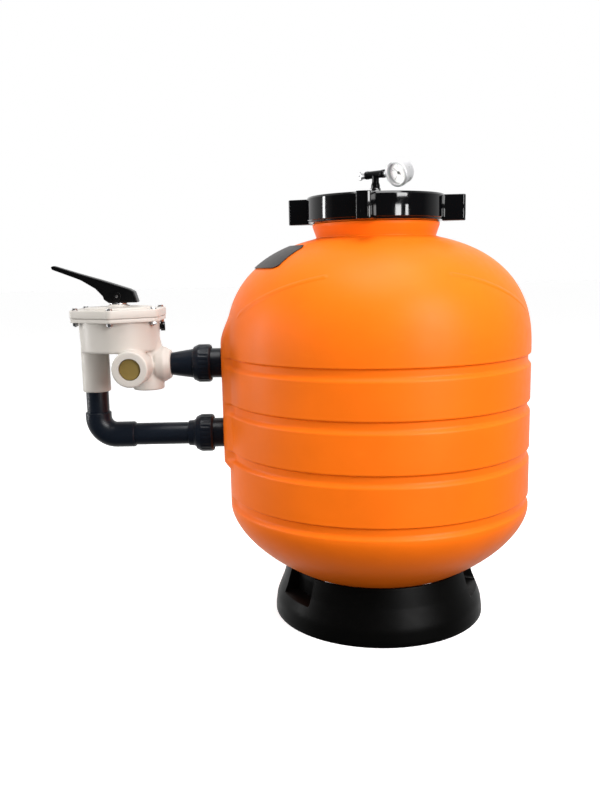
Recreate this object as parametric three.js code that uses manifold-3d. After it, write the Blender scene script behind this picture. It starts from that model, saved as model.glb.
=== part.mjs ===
// Side-mount sand filter tank for a pool: a moulded tank on a flared stand, with a
// lock-ring lid, a pressure gauge and a six-way selector valve piped to its side.
// Millimetres, +Z up. The tank's axis is vertical, the valve is on its -X side,
// and the stand rests on z = 0.
import * as THREE from "three";
import { mergeVertices } from "three/addons/utils/BufferGeometryUtils.js";
import Module from "manifold-3d";

const wasm = await Module();
wasm.setup();

// ---------------------------------------------------------------- driving dimensions
const GAP = 0.3;              // between faces that rest on each other
const OVERSHOOT = 2;          // how far a cutting tool passes the face it opens
const TAU = 2 * Math.PI;

const TANK_R = 325;
const TANK_WALL = 8;
const TANK_SEGMENTS = 32;
const UPPER_DOME = { start: 588, rise: 242, power: 2.44 };
const LOWER_DOME = { start: 250, rise: -193, power: 1.64 };
const GROOVE_Z = [268, 368, 469, 566];
const GROOVE_HALF = 13.5;
const GROOVE_DEPTH = 6;

const NECK_R = 126.5;
const NECK_LIP_R = 134.4;     // where the neck flares under the lock ring
const NECK_THREAD_R = 131;
const NECK_BORE_R = 118;
const NECK_TOP_Z = 888;

const RING_R = 147;
const RING_BOTTOM_Z = 852;
const RING_TOP_Z = 905;
const RING_TURN = -102.7;     // degrees, where the first lug points
const LUG_REACH = 187;
const LUG_Z = [850, 903];
const LUG_PLAN = [[142, -20], [184, -14], [LUG_REACH, -10], [LUG_REACH, 10], [184, 14], [142, 20]];

const LID_HOLE_R = 8.4;
const LID_TOP_Z = 911;
const TEE_Z = 950;
const ARM_TURN = -45;         // degrees, where the gauge's arm points
const GAUGE_REACH = 68;
const GAUGE_R = 25;
const GAUGE_DEPTH = 28;
const GAUGE_TILT = 18.5;      // degrees the dial looks down

const PIPE_R = 24.15;         // 1 1/2 inch pressure pipe, 48.3 mm outside
const SOCKET_BORE_R = 24.6;
const PIPE_BORE_R = 20.5;
const PORT_PAD_X = -334;      // flat face of the raised pad round the two ports
const PAD_STEPS = [           // the pad's face, and the lower and wider step round it
  { x: PORT_PAD_X, half: 50, z: [346, 644] },
  { x: -329.5, half: 58, z: [334, 656] },
];
const UPPER_PORT_Z = 559;
const LOWER_PORT_Z = 405;
const UNION_R = 41;
const UNION_NUT_X = [-397, -359];
const BULKHEAD_BORE_R = 28.4;

const VALVE_X = -555;
const BOWL_TOP_Z = 663;
const BOWL_BOTTOM_Z = 590;
const COVER_TOP_Z = 681;
const BOSS_TOP_Z = 690;       // the ring on the cover that the handle presses
const COVER_APOTHEM = 94;
const COVER_CORNER = 14;
const BOLT_CIRCLE_R = 95;
const DROP_X = -56.5;           // the valve's left port, from the valve's axis
const SIDE_PORTS_X = 36;      // the valve's front and rear ports, from its axis
const WASTE_X = 57;           // the valve's lower right port, from its axis
const PORT_FACE = 100;        // front and rear port faces, from the valve's axis
const PORT_BORE_R = 23;
const PIN_Z = 707;

const HANDLE_TIP_X = -139;    // from the valve's axis
const SPRING = { r: 23, turns: 5, from: 615.2, to: 666.8 };

const NUT_SEAT_X = -322;      // flat land inside the tank wall round each port
const UNION_FACE_X = -383.7;  // sealing face of each port's union
const ELBOW_BEND_R = 40;
const BEND_STEPS = 7;
const ELBOW_TOP_Z = 456;
const ELBOW_END_X = -532;

const DRAIN_Z = 140;
const DRAIN_FACE_Y = 278;
const LATERALS = 8;
const LATERAL_Z = 142;
const LATERAL_PROFILE = [[0, 30], [10.6, 30], [10.6, 196], [8, 200], [0, 200]];
const HUB_TOP_Z = 196;
const LABEL = { bottomZ: 757, topZ: 803, turns: [-196, -144] };
const STAND_FOOT_R = 231;
const STAND_TOP_R = 197;
const STAND_WINDOWS = [[-163, -137], [-30, -4], [83, 109]];   // degrees, from and to

// The frame's origin is the middle of the whole part's footprint, on the floor.
const FOOTPRINT_SHIFT_X = -(TANK_R + VALVE_X + HANDLE_TIP_X) / 2;

// ---------------------------------------------------------------- materials
const finish = (color, roughness, metalness = 0) =>
  new THREE.MeshStandardMaterial({ color, roughness, metalness });
const MATERIALS = {
  tank: () => finish(0xf58220, 0.42),
  black: () => finish(0x16171a, 0.35),
  stand: () => finish(0x1b1c1d, 0.55),
  rubber: () => finish(0x101010, 0.8),
  label: () => finish(0x3a3635, 0.6),
  cream: () => finish(0xe6d8cb, 0.45),
  steel: () => finish(0xb9bcc0, 0.3, 1),
  chrome: () => finish(0xd4d6d8, 0.2, 1),
  white: () => finish(0xf2f2ee, 0.6),
  glass: () => finish(0xe8eef0, 0.05),
  olive: () => finish(0x7e6734, 0.6),
  inner: () => finish(0xd9d9d4, 0.6),
};

// ---------------------------------------------------------------- solids
// A closed geometry as a solid with its faces pointing out.
function solid(geometry) {
  const bare = geometry.clone();
  bare.deleteAttribute("normal");
  bare.deleteAttribute("uv");
  const merged = mergeVertices(bare, 1e-4);
  const position = merged.getAttribute("position");
  const corner = (i) => new THREE.Vector3().fromBufferAttribute(position, i);
  const triangles = [];
  let volume = 0;
  for (let i = 0; i < merged.index.count; i += 3) {
    const [a, b, c] = [0, 1, 2].map((k) => merged.index.getX(i + k));
    if (a === b || b === c || c === a) continue;
    volume += corner(a).dot(corner(b).cross(corner(c)));
    triangles.push([a, b, c]);
  }
  const ordered = volume < 0 ? triangles.map(([a, b, c]) => [a, c, b]) : triangles;
  return new wasm.Manifold(new wasm.Mesh({
    numProp: 3,
    vertProperties: new Float32Array(position.array),
    triVerts: new Uint32Array(ordered.flat()),
  }));
}

function geometryOf(body) {
  const mesh = body.getMesh();
  const geometry = new THREE.BufferGeometry();
  geometry.setAttribute("position", new THREE.BufferAttribute(mesh.vertProperties, 3));
  geometry.setIndex(new THREE.BufferAttribute(mesh.triVerts, 1));
  geometry.computeVertexNormals();
  return geometry;
}

const joined = (...bodies) => bodies.reduce((sum, body) => sum.add(body));
const cut = (body, ...tools) => tools.reduce((rest, tool) => rest.subtract(tool), body);

// A profile of [radius, height] points turned about the vertical axis.
function turned(profile, segments = 16) {
  const points = profile.map(([r, z]) => new THREE.Vector2(r, z));
  const onAxis = points[0].x === 0 && points.at(-1).x === 0;
  if (!onAxis) points.push(points[0].clone());
  return new THREE.LatheGeometry(points, segments).rotateX(Math.PI / 2);
}

// The same, along X or along Y: the profile's heights become places on that axis.
const turnedX = (profile, segments) => turned(profile, segments).rotateY(Math.PI / 2);
const turnedY = (profile, segments) => turned(profile, segments).rotateX(-Math.PI / 2);

const rod = (r, from, to) => [[0, from], [r, from], [r, to], [0, to]];
const tube = (bore, r, from, to) => [[bore, from], [r, from], [r, to], [bore, to]];

function box(x, y, z) {
  const size = [x[1] - x[0], y[1] - y[0], z[1] - z[0]];
  const middle = [x, y, z].map(([low, high]) => (low + high) / 2);
  return new THREE.BoxGeometry(...size).translate(...middle);
}

// An outline in the XY plane raised from one height to another.
function raised(shape, from, to, curveSegments = 4) {
  const options = { depth: to - from, bevelEnabled: false, curveSegments };
  return new THREE.ExtrudeGeometry(shape, options).translate(0, 0, from);
}

const outline = (points) => new THREE.Shape(points.map(([x, y]) => new THREE.Vector2(x, y)));

// An outline in the XZ plane, with its thickness centred on y = 0.
function sideways(points, width) {
  return raised(outline(points), -width / 2, width / 2).rotateX(Math.PI / 2);
}

// A straight run, a quarter bend and another straight run. Each straight run takes
// one step of the extrusion, and the bend takes the rest.
class BentRun extends THREE.Curve {
  constructor(start, corner, end, radius) {
    super();
    this.inward = start.clone().sub(corner).normalize();
    this.outward = end.clone().sub(corner).normalize();
    this.start = start;
    this.end = end;
    this.radius = radius;
    this.centre = corner.clone()
      .addScaledVector(this.inward, radius)
      .addScaledVector(this.outward, radius);
  }

  onBend(angle, target) {
    return target.copy(this.centre)
      .addScaledVector(this.outward, -this.radius * Math.cos(angle))
      .addScaledVector(this.inward, -this.radius * Math.sin(angle));
  }

  getUtoTmapping(u) {
    return u;
  }

  getPoint(t, target = new THREE.Vector3()) {
    const step = t * BEND_STEPS;
    const corner = new THREE.Vector3();
    if (step <= 1) return target.lerpVectors(this.start, this.onBend(0, corner), step);
    if (step >= BEND_STEPS - 1) {
      return target.lerpVectors(this.onBend(Math.PI / 2, corner), this.end, step - BEND_STEPS + 1);
    }
    return this.onBend(((step - 1) / (BEND_STEPS - 2)) * (Math.PI / 2), target);
  }
}

function pipeAlong(path, r, bore) {
  const ring = new THREE.Shape().absarc(0, 0, r, 0, TAU);
  ring.holes.push(new THREE.Path().absarc(0, 0, bore, 0, TAU, true));
  const options = { extrudePath: path, steps: BEND_STEPS, curveSegments: 8, bevelEnabled: false };
  return new THREE.ExtrudeGeometry(ring, options);
}

function place(parent, name, body, material) {
  const geometry = geometryOf(body instanceof THREE.BufferGeometry ? solid(body) : body);
  const mesh = new THREE.Mesh(geometry, material());
  mesh.name = name;
  parent.add(mesh);
  return mesh;
}

function groupAt(parent, x = 0, y = 0, z = 0) {
  const group = new THREE.Group();
  group.position.set(x, y, z);
  parent.add(group);
  return group;
}

const turnZ = (degrees) => new THREE.Matrix4().makeRotationZ(THREE.MathUtils.degToRad(degrees));

// ---------------------------------------------------------------- tank
// Points of a dome from its full radius in to a stated radius, as a superellipse.
function domePoints(dome, offset, innerR, count) {
  const full = TANK_R - offset;
  const rise = dome.rise - Math.sign(dome.rise) * offset;
  const last = Math.acos((innerR / full) ** (dome.power / 2));
  return Array.from({ length: count + 1 }, (_, i) => {
    const angle = (last * i) / count;
    const r = i === count ? innerR : full * Math.cos(angle) ** (2 / dome.power);
    return [r, dome.start + rise * Math.sin(angle) ** (2 / dome.power)];
  });
}

function domeHeight(dome, r) {
  return dome.start + dome.rise * (1 - (r / TANK_R) ** dome.power) ** (1 / dome.power);
}

const lowerLimb = (offset, count) => domePoints(LOWER_DOME, offset, 0, count).reverse();
const upperLimb = (offset, innerR, count) => domePoints(UPPER_DOME, offset, innerR, count);

function tankProfile() {
  const grooves = GROOVE_Z.flatMap((z) => [
    [TANK_R, z - GROOVE_HALF],
    [TANK_R - GROOVE_DEPTH, z - GROOVE_HALF / 2],
    [TANK_R - GROOVE_DEPTH, z + GROOVE_HALF / 2],
    [TANK_R, z + GROOVE_HALF],
  ]);
  const neck = [
    [NECK_R + 2, 834],
    [NECK_LIP_R, RING_BOTTOM_Z - 7],
    [NECK_LIP_R, RING_BOTTOM_Z - 3],
    [NECK_THREAD_R, RING_BOTTOM_Z - 1],
    [NECK_THREAD_R, NECK_TOP_Z],
    [NECK_BORE_R, NECK_TOP_Z],
  ];
  const innerDome = upperLimb(TANK_WALL, NECK_BORE_R, 6).reverse();
  const inside = [...innerDome, ...lowerLimb(TANK_WALL, 6).reverse()];
  return [...lowerLimb(0, 8), ...grooves, ...upperLimb(0, NECK_R, 8), ...neck, ...inside];
}

function drainSolids() {
  const hollow = solid(turned([...lowerLimb(TANK_WALL, 6), [0, LOWER_DOME.start]], TANK_SEGMENTS));
  const boss = solid(turnedY(rod(24, 202, DRAIN_FACE_Y), 16).translate(0, 0, DRAIN_Z));
  const hole = solid(turnedY(rod(14.5, 196, DRAIN_FACE_Y + OVERSHOOT), 16).translate(0, 0, DRAIN_Z));
  return { boss: boss.subtract(hollow), hole };
}

function tankShell() {
  const wall = solid(turned(tankProfile(), TANK_SEGMENTS));
  const pad = PAD_STEPS.map(({ x, half, z }) => solid(box([x, TANK_WALL - TANK_R], [-half, half], z)));
  const { boss, hole } = drainSolids();
  const ports = [UPPER_PORT_Z, LOWER_PORT_Z].flatMap((z) => [
    solid(turnedX(rod(28.5, PORT_PAD_X - OVERSHOOT, -290), 16).translate(0, 0, z)),
    solid(turnedX(rod(47, NUT_SEAT_X, -290), 16).translate(0, 0, z)),
  ]);
  return cut(joined(wall, ...pad, boss), hole, ...ports);
}

// A thin plate that follows the upper dome between two heights and two directions.
function shoulderLabel() {
  const band = (lift, from, to) => {
    const onDome = (z, extra) => {
      const level = ((z - UPPER_DOME.start) / UPPER_DOME.rise) ** UPPER_DOME.power;
      return [(TANK_R + extra) * (1 - level) ** (1 / UPPER_DOME.power), z + extra];
    };
    const heights = [0, 1, 2, 3].map((i) => from + ((to - from) * i) / 3);
    return [
      ...heights.map((z) => onDome(z, lift[1])),
      ...heights.reverse().map((z) => onDome(z, lift[0])),
    ];
  };
  const shell = solid(turned(band([0.9, 2], LABEL.bottomZ, LABEL.topZ), 2 * TANK_SEGMENTS));
  const [from, to] = LABEL.turns.map(THREE.MathUtils.degToRad);
  const reach = 400;
  const corners = [from, (from + to) / 2, to].map((a) => [reach * Math.cos(a), reach * Math.sin(a)]);
  const wedge = raised(outline([[0, 0], ...corners]), LABEL.bottomZ - 9, LABEL.topZ + 9);
  return shell.intersect(solid(wedge));
}

// The flared skirt with an inner drum, open underneath; the dome rests on its top.
function standShell() {
  const seat = (r) => domeHeight(LOWER_DOME, r) - 0.8;
  const profile = [
    [224, 0],
    [STAND_FOOT_R, 0],
    [STAND_FOOT_R, 10],
    [STAND_FOOT_R - 3, 34],
    [212, 74],
    [STAND_TOP_R + 3, seat(STAND_TOP_R + 3)],
    [188, seat(188)],
    [178, seat(178)],
    [178, 0],
    [185, 0],
    [185, 92],
    [193, 98],
    [206, 72],
    [221, 34],
  ];
  return solid(turned(profile, TANK_SEGMENTS));
}

function sector(turns, inner, outer, from, to) {
  const [start, end] = turns.map(THREE.MathUtils.degToRad);
  const shape = new THREE.Shape().absarc(0, 0, outer, start, end);
  shape.absarc(0, 0, inner, end, start, true);
  return solid(raised(shape, from, to, 6));
}

function stand() {
  const windows = STAND_WINDOWS.map((turns) => sector(turns, 187.5, 240, 62, 140));
  const ledges = STAND_WINDOWS.map(([start, end]) => sector([start - 1, end + 1], 184, 215, 56, 62));
  return joined(cut(standShell(), ...windows), ...ledges);
}

function addTank(parent) {
  place(parent, "tank_shell", tankShell(), MATERIALS.tank);
  place(parent, "base_stand", stand(), MATERIALS.stand);
  place(parent, "shoulder_label", shoulderLabel(), MATERIALS.label);
  const face = DRAIN_FACE_Y + GAP;
  const spigot = [[8, 220], [14, 220], [14, face], [22, face], [22, face + 6], [16.5, face + 6],
    [16.5, face + 26], [8, face + 26]];
  place(parent, "drain_spigot", turnedY(spigot, 16), MATERIALS.black).position.z = DRAIN_Z;
}

function addDrainCap(parent) {
  const back = DRAIN_FACE_Y + 33;
  const cap = [[0, back], [0, back - 6], [17.3, back - 6], [17.3, back - 26],
    [21, back - 26], [21, back - 2], [19, back]];
  place(parent, "drain_cap", turnedY(cap, 16), MATERIALS.black).position.z = DRAIN_Z;
}

// ---------------------------------------------------------------- inside the tank
function addInside(parent) {
  const inlet = new BentRun(
    new THREE.Vector3(-315, 0, UPPER_PORT_Z), new THREE.Vector3(0, 0, UPPER_PORT_Z),
    new THREE.Vector3(0, 0, 690), 50);
  const outlet = new BentRun(
    new THREE.Vector3(-315, 0, LOWER_PORT_Z), new THREE.Vector3(0, 0, LOWER_PORT_Z),
    new THREE.Vector3(0, 0, HUB_TOP_Z - 24), 50);
  place(parent, "inlet_pipe", pipeAlong(inlet, PIPE_R, PIPE_BORE_R), MATERIALS.inner);
  place(parent, "outlet_pipe", pipeAlong(outlet, PIPE_R, PIPE_BORE_R), MATERIALS.inner);
  const diffuser = [[SOCKET_BORE_R, 662], [28.5, 662], [28.5, 694], [80, 730], [80, 744], [77, 744],
    [77, 732], [21, 694], [21, 690.5], [SOCKET_BORE_R, 690.5]];
  place(parent, "top_diffuser", turned(diffuser, 16), MATERIALS.inner);
  addLaterals(parent);
}

function addLaterals(parent) {
  const body = joined(
    solid(turned(rod(42, 118, 166), 16)),
    solid(turned(rod(29, 160, HUB_TOP_Z), 16)));
  const chamber = solid(turned(rod(28, 128, 160), 16));
  const throat = solid(turned(rod(20, 150, HUB_TOP_Z), 16));
  const socket = solid(turned(rod(SOCKET_BORE_R, HUB_TOP_Z - 24.5, HUB_TOP_Z + OVERSHOOT), 16));
  const sockets = [];
  for (let i = 0; i < LATERALS; i += 1) {
    sockets.push(solid(turnedX(rod(11.2, 25, 45), 8).translate(0, 0, LATERAL_Z))
      .transform(turnZ((360 * i) / LATERALS).elements));
  }
  place(parent, "lateral_hub", cut(body, chamber, throat, socket, ...sockets), MATERIALS.inner);
  for (let i = 0; i < LATERALS; i += 1) {
    const arm = place(parent, `lateral_${i + 1}`, turnedX(LATERAL_PROFILE, 8), MATERIALS.inner);
    arm.position.z = LATERAL_Z;
    arm.rotation.z = (TAU * i) / LATERALS;
  }
}

// ---------------------------------------------------------------- pipework
// Fittings of one tank port, turned about the port's axis, with places along X.
function addPort(parent, side, z) {
  const port = groupAt(parent, 0, 0, z);
  const body = [[20, -296], [28, -296], [28, PORT_PAD_X - 3], [32, PORT_PAD_X - 3], [32, -362],
    [36, -363], [36, UNION_FACE_X], [31, UNION_FACE_X], [31, UNION_FACE_X + 2.4],
    [27, UNION_FACE_X + 2.4], [27, UNION_FACE_X], [20, UNION_FACE_X]];
  const socket = solid(turnedX(rod(SOCKET_BORE_R, -316, -294), 16));
  place(port, `${side}_bulkhead`, cut(solid(turnedX(body, 16)), socket), MATERIALS.black);
  place(port, `${side}_bulkhead_gasket`,
    turnedX(tube(BULKHEAD_BORE_R, 34, PORT_PAD_X - 2.7, PORT_PAD_X - GAP), 16), MATERIALS.rubber);
  const nut = solid(turnedX(rod(44, NUT_SEAT_X + GAP, -309), 8));
  const thread = solid(turnedX(rod(BULKHEAD_BORE_R, NUT_SEAT_X - OVERSHOOT, -300), 16));
  place(port, `${side}_bulkhead_nut`, nut.subtract(thread), MATERIALS.black);
  place(port, `${side}_union_o_ring`,
    turnedX(tube(27.3, 30.7, UNION_FACE_X - 0.1, UNION_FACE_X + 2.1), 16), MATERIALS.rubber);
  return port;
}

function addUnionNut(parent, side, z) {
  const [outer, inner] = UNION_NUT_X;
  const ring = [[32.6, outer], [38, outer], [UNION_R, outer + 4], [UNION_R, inner - 4],
    [UNION_R - 1, inner], [36.8, inner], [36.8, outer + 6.4], [32.6, outer + 6.4]];
  place(parent, `${side}_union_nut`, turnedX(ring, 16), MATERIALS.black).position.z = z;
}

const FLANGE = { back: -390.3, front: -384 };

function addPipework(parent) {
  addPort(parent, "upper", UPPER_PORT_Z);
  addPort(parent, "lower", LOWER_PORT_Z);
  const adaptor = [[19, VALVE_X + 88], [22.6, VALVE_X + 88], [22.6, -445], [25.5, -445], [27, -420],
    [31.8, -401], [31.8, FLANGE.back], [35.8, FLANGE.back], [35.8, FLANGE.front], [19, FLANGE.front]];
  place(parent, "upper_adaptor", turnedX(adaptor, 16), MATERIALS.black).position.z = UPPER_PORT_Z;
  const tail = [[SOCKET_BORE_R, -414], [27.5, -414], [29, -400], [31.8, -398], [31.8, FLANGE.back],
    [35.8, FLANGE.back], [35.8, FLANGE.front], [20, FLANGE.front], [20, -394], [SOCKET_BORE_R, -394]];
  place(parent, "lower_union_tail", turnedX(tail, 16), MATERIALS.black).position.z = LOWER_PORT_Z;

  const corner = new THREE.Vector3(VALVE_X + DROP_X, 0, LOWER_PORT_Z);
  const elbow = new BentRun(
    corner.clone().setZ(ELBOW_TOP_Z), corner, corner.clone().setX(ELBOW_END_X), ELBOW_BEND_R);
  place(parent, "elbow", pipeAlong(elbow, 28, SOCKET_BORE_R), MATERIALS.black);
  place(parent, "lower_pipe",
    turnedX(tube(PIPE_BORE_R, PIPE_R, corner.x + ELBOW_BEND_R + 1, -394.3), 16), MATERIALS.black)
    .position.z = LOWER_PORT_Z;
  place(parent, "drop_pipe",
    turned(tube(PIPE_BORE_R, PIPE_R, LOWER_PORT_Z + ELBOW_BEND_R + 1, 533), 16), MATERIALS.black)
    .position.x = corner.x;
}

// ---------------------------------------------------------------- selector valve
// A hexagon with rounded corners, one corner towards -Y and flats towards +-X.
function hexagon(apothem, cornerR) {
  const shape = new THREE.Shape();
  const reach = (apothem - cornerR) / Math.cos(Math.PI / 6);
  for (let i = 0; i < 6; i += 1) {
    const turn = Math.PI / 6 + (i * Math.PI) / 3;
    const [x, y] = [reach * Math.cos(turn), reach * Math.sin(turn)];
    shape.absarc(x, y, cornerR, turn - Math.PI / 6, turn + Math.PI / 6);
  }
  return shape;
}

const hexPrism = (apothem, cornerR, from, to) => raised(hexagon(apothem, cornerR), from, to, 2);

const cornerPlaces = Array.from({ length: 6 }, (_, i) => {
  const turn = Math.PI / 6 + (i * Math.PI) / 3;
  return [BOLT_CIRCLE_R * Math.cos(turn), BOLT_CIRCLE_R * Math.sin(turn)];
});

function boltHoles(from, to) {
  return cornerPlaces.map(([x, y]) => solid(turned(rod(3.4, from, to), 8).translate(x, y, 0)));
}

function valveCasting() {
  const bowl = solid(turned([[0, BOWL_BOTTOM_Z], [83.2, BOWL_BOTTOM_Z], [86.5, BOWL_TOP_Z - 8],
    [86.5, BOWL_TOP_Z], [0, BOWL_TOP_Z]], 24));
  const flange = solid(hexPrism(COVER_APOTHEM - 1, COVER_CORNER, BOWL_TOP_Z - 8, BOWL_TOP_Z));
  const drop = solid(turned(rod(30, 502, BOWL_BOTTOM_Z + 5), 16).translate(DROP_X, 0, 0));
  const shoulder = [[0, 505], [34, 505], [34, 596], [27, 618], [14, 636], [0, 640]];
  const waste = solid(turned(shoulder, 16).translate(WASTE_X, 0, 0));
  const cross = solid(turnedY(rod(38, -PORT_FACE, PORT_FACE), 16)
    .translate(SIDE_PORTS_X, 0, UPPER_PORT_Z));
  const outlet = solid(turnedX([[0, 30], [38, 30], [38, 96], [30, 109], [0, 109]], 24)
    .translate(0, 0, UPPER_PORT_Z));
  return joined(bowl, flange, drop, waste, cross, outlet);
}

// Each port has its own blind bore and its own way up through the bowl's floor, except the
// plugged front port, which is a spare.
function valveBores() {
  const riser = (x, y, r, from) => solid(turned(rod(r, from, 605), 10).translate(x, y, 0));
  const sidePort = (from, to) => solid(
    turnedY(rod(PORT_BORE_R, from, to), 16).translate(SIDE_PORTS_X, 0, UPPER_PORT_Z));
  const bowlInside = [[0, 598], [72, 598], [79, BOWL_TOP_Z + OVERSHOOT], [0, BOWL_TOP_Z + OVERSHOOT]];
  return [
    solid(turned(bowlInside, 24)),
    solid(turned(tube(81.5, 86.5, 660, BOWL_TOP_Z + OVERSHOOT), 24)),
    solid(turned(rod(SOCKET_BORE_R, 500, 534), 16).translate(DROP_X, 0, 0)),
    riser(DROP_X, 0, 14, 530),
    solid(turned(rod(PORT_BORE_R, 500, 530), 16).translate(WASTE_X, 0, 0)),
    riser(34, 0, 8, 518),
    sidePort(-PORT_FACE - OVERSHOOT, -42),
    sidePort(42, PORT_FACE + OVERSHOOT),
    riser(SIDE_PORTS_X + 4, 48, 8, UPPER_PORT_Z),
    solid(turnedX(rod(PORT_BORE_R, 58, 111), 16).translate(0, 0, UPPER_PORT_Z)),
    riser(62, 0, 8, UPPER_PORT_Z),
    solid(turnedX(rod(7, 70, 90), 12)).transform(gaugePortMatrix().elements),
    ...boltHoles(BOWL_TOP_Z - 10, BOWL_TOP_Z + OVERSHOOT),
  ];
}

// The small plugged gauge port on the bowl's tank side.
function gaugePortMatrix() {
  return new THREE.Matrix4().makeTranslation(0, 0, 640).multiply(turnZ(10));
}

// The nut under the flange is tightened on its bolt, so the two are one piece here.
function addValveBody(valve) {
  place(valve, "valve_body", cut(valveCasting(), ...valveBores()), MATERIALS.cream);
  const plug = place(valve, "gauge_port_plug",
    turnedX([[0, 78], [6.7, 78], [6.7, 87.5], [10, 87.5], [10, 97], [0, 97]], 12),
    MATERIALS.black);
  plug.applyMatrix4(gaugePortMatrix());
  const disc = [[0, COVER_TOP_Z - 1], [74, COVER_TOP_Z - 1], [70, COVER_TOP_Z + 4],
    [22, COVER_TOP_Z + 5], [20, BOSS_TOP_Z], [0, BOSS_TOP_Z]];
  const cover = joined(
    solid(hexPrism(COVER_APOTHEM, COVER_CORNER, BOWL_TOP_Z + GAP, COVER_TOP_Z)),
    solid(turned(disc, 24)));
  const inside = solid(turned(rod(76, 660, 670), 24));
  const bore = solid(turned(rod(10.3, 660, BOSS_TOP_Z + OVERSHOOT), 16));
  place(valve, "valve_cover", cut(cover, inside, bore, ...boltHoles(650, 690)), MATERIALS.cream);
  place(valve, "cover_o_ring", turned(tube(82, 86, 660.3, BOWL_TOP_Z), 24), MATERIALS.rubber);
  place(valve, "spider_gasket", spiderGasket(), MATERIALS.rubber);
  place(valve, "front_port_plug",
    turnedY([[0, -95], [22.6, -95], [22.6, -76], [20, -76], [20, -92], [0, -92]], 16), MATERIALS.olive)
    .position.set(SIDE_PORTS_X, 0, UPPER_PORT_Z);
  cornerPlaces.forEach(([x, y], i) => {
    const bolt = joined(
      solid(turned(rod(3, 646, COVER_TOP_Z + 1), 6)),
      solid(turned(rod(6, COVER_TOP_Z + GAP, COVER_TOP_Z + 4), 6)),
      solid(turned(rod(6.5, 648, BOWL_TOP_Z - 8 - GAP), 6)));
    place(valve, `cover_bolt_${i + 1}`, bolt, MATERIALS.steel).position.set(x, y, 0);
  });
}

function spiderGasket() {
  const ring = new THREE.Shape().absarc(0, 0, 70.5, 0, TAU);
  for (let i = 0; i < 6; i += 1) {
    const [from, to] = [-24, 24].map((side) => THREE.MathUtils.degToRad(60 * i + side));
    const window = new THREE.Path().absarc(0, 0, 65, from, to);
    window.absarc(0, 0, 20, to, from, true);
    ring.holes.push(window);
  }
  return raised(ring, 598.3, 601.5, 6);
}

function addRotor(valve) {
  const disc = turned([[0, 602], [69.5, 602], [70.5, 612], [17, 612], [16, 640],
    [9.7, 644], [9.7, 715], [0, 715]], 30);
  const passage = solid(turned(rod(15, 600, 614), 12).translate(-46, 0, 0));
  const pinHole = solid(turnedY(rod(3.3, -20, 16), 10).translate(0, 0, PIN_Z));
  place(valve, "rotor", cut(solid(disc), passage, pinHole), MATERIALS.cream);
  place(valve, "handle_pin", turnedY(rod(3, -16.5, 16.5), 10), MATERIALS.steel).position.z = PIN_Z;
  place(valve, "rotor_spring", spring(), MATERIALS.steel);
}

class Coil extends THREE.Curve {
  getPoint(t, target = new THREE.Vector3()) {
    const angle = SPRING.turns * TAU * t;
    const height = SPRING.from + (SPRING.to - SPRING.from) * t;
    return target.set(SPRING.r * Math.cos(angle), SPRING.r * Math.sin(angle), height);
  }
}

function spring() {
  const wire = new THREE.Shape().absarc(0, 0, 2.5, 0, TAU);
  const steps = 8 * SPRING.turns;
  const options = { extrudePath: new Coil(), steps, curveSegments: 2, bevelEnabled: false };
  return new THREE.ExtrudeGeometry(wire, options);
}

function addHandle(valve) {
  const foot = PIN_Z - 13.4;
  const side = [[-18, foot], [44, foot], [36, 718], [26, 723], [-31, 742], [-80, 757], [-134, 774],
    [HANDLE_TIP_X, 772], [-137, 766], [-76, 743], [-45, 724], [-30, 708], [-28, 701]];
  const lever = solid(sideways(side, 32));
  const taper = [-1, 1].map((s) => solid(raised(
    outline([[-150, s * 8], [-20, s * 16], [-20, s * 30], [-150, s * 30]]), 690, 790)));
  const slot = solid(box([-19, 19], [-10.4, 10.4], [690, 718]));
  const pinHole = solid(turnedY(rod(3.3, -20, 16), 10).translate(0, 0, PIN_Z));
  place(valve, "handle", cut(lever, ...taper, slot, pinHole), MATERIALS.black);
}

// ---------------------------------------------------------------- lid, tee and gauge
function addLid(parent) {
  const dome = [[LID_HOLE_R, 901], [60, 898], [108, 893], [114, 888.6], [121.5, 888.6], [121.5, 891.6],
    [128.5, 891.6], [128.5, 888.6], [131.3, 888.6], [131.3, 897.2], [117, 897.2], [112, 901],
    [60, 907], [18, LID_TOP_Z - 1], [16, LID_TOP_Z + 3], [LID_HOLE_R, LID_TOP_Z + 3]];
  place(parent, "lid_dome", turned(dome, 24), MATERIALS.black);
  place(parent, "lid_o_ring", turned(tube(122, 128, NECK_TOP_Z + GAP, 891.3), 24), MATERIALS.rubber);
}

function addLockRing(parent) {
  const band = solid(turned([[134, RING_BOTTOM_Z], [145, RING_BOTTOM_Z], [RING_R, RING_BOTTOM_Z + 4],
    [RING_R, RING_TOP_Z - 5], [RING_R - 4, RING_TOP_Z], [119, RING_TOP_Z], [119, 897.5],
    [134, 897.5]], 24));
  const lugs = [0, 1, 2, 3].map((i) => {
    const block = solid(raised(outline(LUG_PLAN), ...LUG_Z));
    const [bottom, top] = [LUG_Z[0] - OVERSHOOT, LUG_Z[1] + OVERSHOOT];
    const groove = solid(box([LUG_REACH - 4, LUG_REACH + OVERSHOOT], [-5, 5], [bottom, top]));
    return block.subtract(groove).transform(turnZ(90 * i).elements);
  });
  const ring = place(parent, "lock_ring", joined(band, ...lugs), MATERIALS.black);
  ring.rotation.z = THREE.MathUtils.degToRad(RING_TURN);
}

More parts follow.
